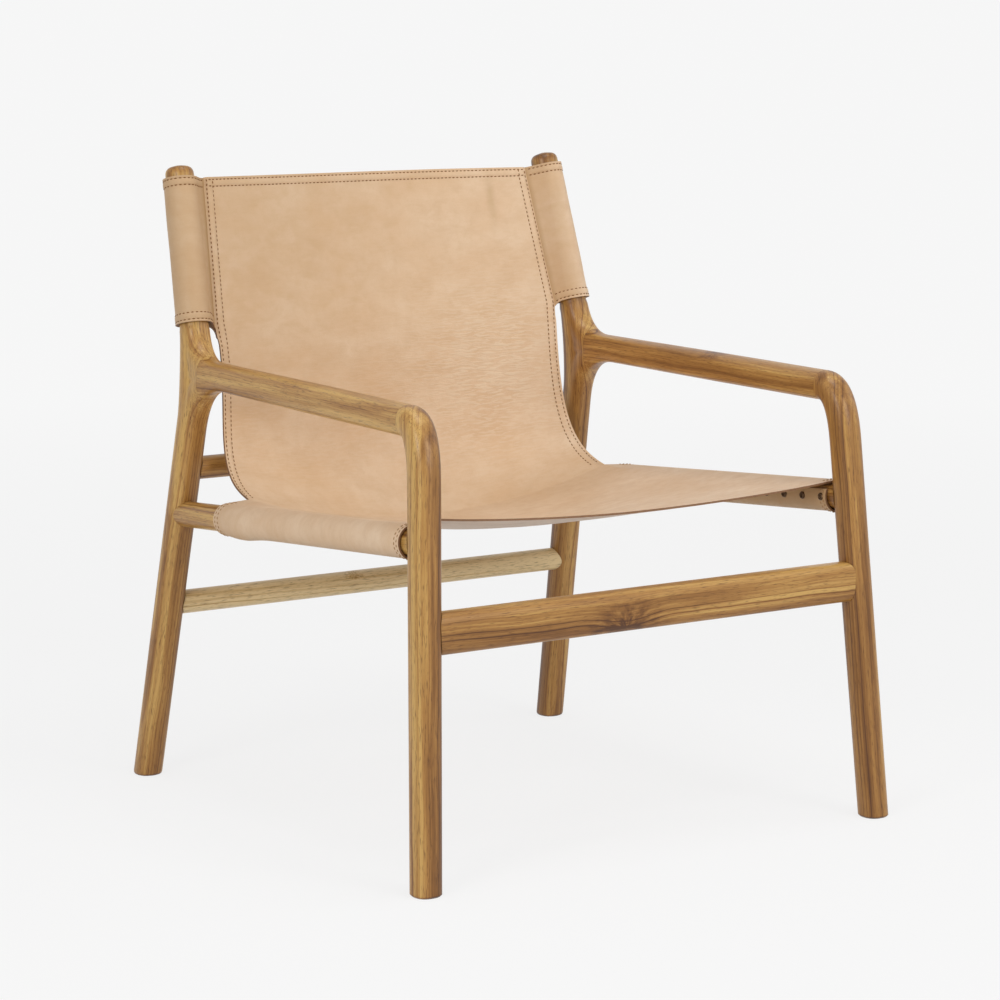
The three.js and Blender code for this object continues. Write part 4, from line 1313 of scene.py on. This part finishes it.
def make_sleeve(flank):
    """A strip folded round the post, hemmed at both ends, its two layers sewn behind the panel's edge."""
    post = post_axes(flank)
    length = post.end - post.start
    levels = sorted({*HEM_STEPS, *spaced(length)})
    insets = [seam_inset(level / length) for level in levels]
    slacks = [LOWER_SLACK + (SLEEVE_SLACK - LOWER_SLACK) * level / length for level in levels]
    profiles = [sleeve_profile(inset, slack) for inset, slack in zip(insets, slacks)]
    around, tall = len(profiles[0]) - 1, len(levels) - 1
    walked = [length_of(profiles[-1][:k + 1]) for k in range(around + 1)]

    bm = bmesh.new()
    grid = bmesh.ops.create_grid(bm, x_segments=around, y_segments=tall, size=0.5)["verts"]
    spots, places, shades = {}, {}, {}
    for v in grid:
        k, i = round((v.co.x + 0.5) * around), round((v.co.y + 0.5) * tall)
        spots[i, k] = v
        spot = profiles[i][k]
        share = levels[i] / length
        inward = min(max((spot.x - DIP_START) / (insets[i] + DIP_HIDDEN - DIP_START), 0), 1)
        dip = SLEEVE_DIP * (1 - math.sqrt(1 - inward ** 2)) * (1 - share) ** DIP_FADE
        lift = TOP_CROWN * LEFT_CORNER * inward * share ** 2 if flank is LEFT else 0
        height = post.start + levels[i] - dip + lift
        v.co = post.base + post.along * height + post.tab * spot.x + post.front * spot.y
        places[v] = Vector((walked[k] + flank.side, levels[i], 0))
        shades[v] = sleeve_shade(flank, spot, insets[i])
    bmesh.ops.recalc_face_normals(bm, faces=bm.faces)
    bm.normal_update()
    if spots[tall // 2, around // 2].normal.dot(post.tab) > 0:
        bmesh.ops.reverse_faces(bm, faces=bm.faces)
    bm.normal_update()
    for (i, k), v in spots.items():
        loose = smoothstep(insets[i], SLEEVE_HOLD, profiles[i][k].x)
        rise = max(hem_rise(levels[i]), hem_rise(length - levels[i]))
        v.co += v.normal * (rise + swell_at(places[v], SLEEVE_SWELLS)) * loose
    bm.normal_update()

    lines = []
    for level in (OUTER_ROW, INNER_ROW, length - INNER_ROW, length - OUTER_ROW):
        i = nearest(levels, level)
        row = [k for k in range(around + 1) if profiles[i][k].x < insets[i] - HIDE]
        lines.append([through(spots[i, k], HIDE / 2) for k in row])
    lay = [x for v in bm.verts for x in places[v]]
    strain = [CREASE_LEAST] * len(bm.verts)
    tone = [shades[v] for v in bm.verts]
    name = f"back_sleeve_{flank.name}"
    piece, area = leather_sheet(f"{name}_sewn", bm, lay, strain, tone)
    fitted(piece, "leather", name)
    thread = thread_piece(f"{name}_thread", lines, SEAM_THREAD)


# Screws through the flap

def make_screws(flank):
    """A row of bronzed screws in cups, one spun shape set along the flap."""
    rail = rail_axes(flank)
    seat = SIDE_RAIL_DIAMETER / 2 + WRAP_SLACK + HIDE
    out = rail.along * CUP_DIAMETER / 2
    rise = rail.inward * CUP_RISE
    bm = bmesh.new()
    for i in range(SCREW_COUNT):
        place = rail.start + rail.along * (WRAP_START + SCREW_INSET + i * SCREW_PITCH) + rail.inward * seat
        points = [bm.verts.new(place + out * r + rise * h) for r, h in CUP_OUTLINE + HEAD_OUTLINE]
        chain = [bm.edges.new(pair) for pair in zip(points, points[1:])]
        bmesh.ops.spin(
            bm, geom=[*points, *chain], cent=place, axis=rail.inward, angle=math.tau, steps=CUP_SIDES,
            use_merge=True,
        )
    close_up(bm, bm.verts)
    screws = piece_from(f"flap_screws_{flank.name}", bm, BRONZE)
    fitted(screws, "screw_bronze", *(f"flap_screw_{flank.name}_{i + 1}" for i in range(SCREW_COUNT)))


make_hide()
for flank in FLANKS:
    make_sleeve(flank)
    make_screws(flank)


# Stage, light and camera

def shown_white(tree):
    """Share of the rays that should see the plain backdrop: those of the camera, of gloss and of glass."""
    path = add(tree, "ShaderNodeLightPath")
    shown = path.outputs["Is Camera Ray"]
    for ray in ("Is Glossy Ray", "Is Transmission Ray"):
        shown = add(tree, "ShaderNodeMath", {0: shown, 1: path.outputs[ray]}, operation="MAXIMUM").outputs[0]
    return shown


BACKDROP = srgb("#F8F8F8")
FLOOR_SIZE = 400  # wide enough for its far edge to lie above the picture
NEAR_GLOW = 0.84  # share of the floor's look that is plain backdrop, so that shadows stay faint
FAR_GLOW = 0.97  # and that share away from the chair
GLOW_START = 0.8
GLOW_END = 4
SKY_LEVEL = 0.47
SKY_SHOWN = 0.985  # the backdrop beyond the floor is as bright as the floor's far end


def make_floor():
    """A wide pale floor that the camera sees as nearly plain backdrop, with faint shadows."""
    bm = bmesh.new()
    bmesh.ops.create_grid(bm, x_segments=1, y_segments=1, size=FLOOR_SIZE / 2)
    material = bpy.data.materials.new("studio_floor")
    material.use_nodes = True
    tree = material.node_tree
    tree.nodes.clear()
    matt = add(tree, "ShaderNodeBsdfDiffuse", {"Color": BACKDROP})
    glow = add(tree, "ShaderNodeEmission", {"Color": BACKDROP})
    place = add(tree, "ShaderNodeTexCoord").outputs["Object"]
    away = add(tree, "ShaderNodeVectorMath", {0: place}, operation="LENGTH").outputs["Value"]
    plain = add(tree, "ShaderNodeMapRange", {0: away, 1: GLOW_START, 2: GLOW_END, 3: NEAR_GLOW, 4: FAR_GLOW})
    share = add(tree, "ShaderNodeMath", {0: shown_white(tree), 1: plain.outputs[0]}, operation="MULTIPLY")
    mixed = add(tree, "ShaderNodeMixShader", {0: share.outputs[0], 1: matt.outputs[0], 2: glow.outputs[0]})
    add(tree, "ShaderNodeOutputMaterial", {"Surface": mixed.outputs[0]})
    floor = piece_from("studio_floor", bm, material)


def make_sky():
    """Even white light from all round, behind the plain backdrop."""
    world = bpy.data.worlds.new("studio")
    world.use_nodes = True
    bpy.context.scene.world = world
    tree = world.node_tree
    tree.nodes.clear()
    light = add(tree, "ShaderNodeBackground", {"Color": (1, 1, 1, 1), "Strength": SKY_LEVEL})
    plain = add(tree, "ShaderNodeBackground", {"Color": BACKDROP, "Strength": SKY_SHOWN})
    mixed = add(tree, "ShaderNodeMixShader", {0: shown_white(tree), 1: light.outputs[0], 2: plain.outputs[0]})
    add(tree, "ShaderNodeOutputWorld", {"Surface": mixed.outputs[0]})


def make_softbox(name, place, size, power):
    """A square softbox that faces the chair."""
    lamp = bpy.data.lights.new(name, "AREA")
    lamp.size = size
    lamp.energy = power
    holder = bpy.data.objects.new(name, lamp)
    bpy.context.scene.collection.objects.link(holder)
    holder.location = place
    holder.rotation_euler = (VIEW_TARGET - Vector(place)).to_track_quat("-Z", "Y").to_euler()


def make_camera():
    """The photograph's camera, in front of the chair and to its left."""
    lens = bpy.data.cameras.new("photograph_view")
    lens.lens = VIEW_LENS
    lens.sensor_width = VIEW_SENSOR
    camera = bpy.data.objects.new("photograph_view", lens)
    bpy.context.scene.collection.objects.link(camera)
    level = math.cos(VIEW_ELEVATION)
    back = Vector((math.sin(VIEW_AZIMUTH) * level, -math.cos(VIEW_AZIMUTH) * level, math.sin(VIEW_ELEVATION)))
    camera.location = VIEW_TARGET + back * VIEW_DISTANCE
    camera.rotation_euler = (-back).to_track_quat("-Z", "Y").to_euler()
    bpy.context.scene.camera = camera


make_floor()
make_sky()
make_softbox("softbox_left", place=(-3.4, -1.8, 2.1), size=1.3, power=40)
make_softbox("softbox_right", place=(0.8, -3.4, 1.8), size=1.3, power=29)
make_softbox("softbox_above", place=(0, -0.6, 3), size=1.4, power=20)
make_softbox("softbox_rim", place=(2.5, -1.2, 1.7), size=1, power=6)
make_camera()
bpy.context.scene.view_settings.view_transform = "Standard"
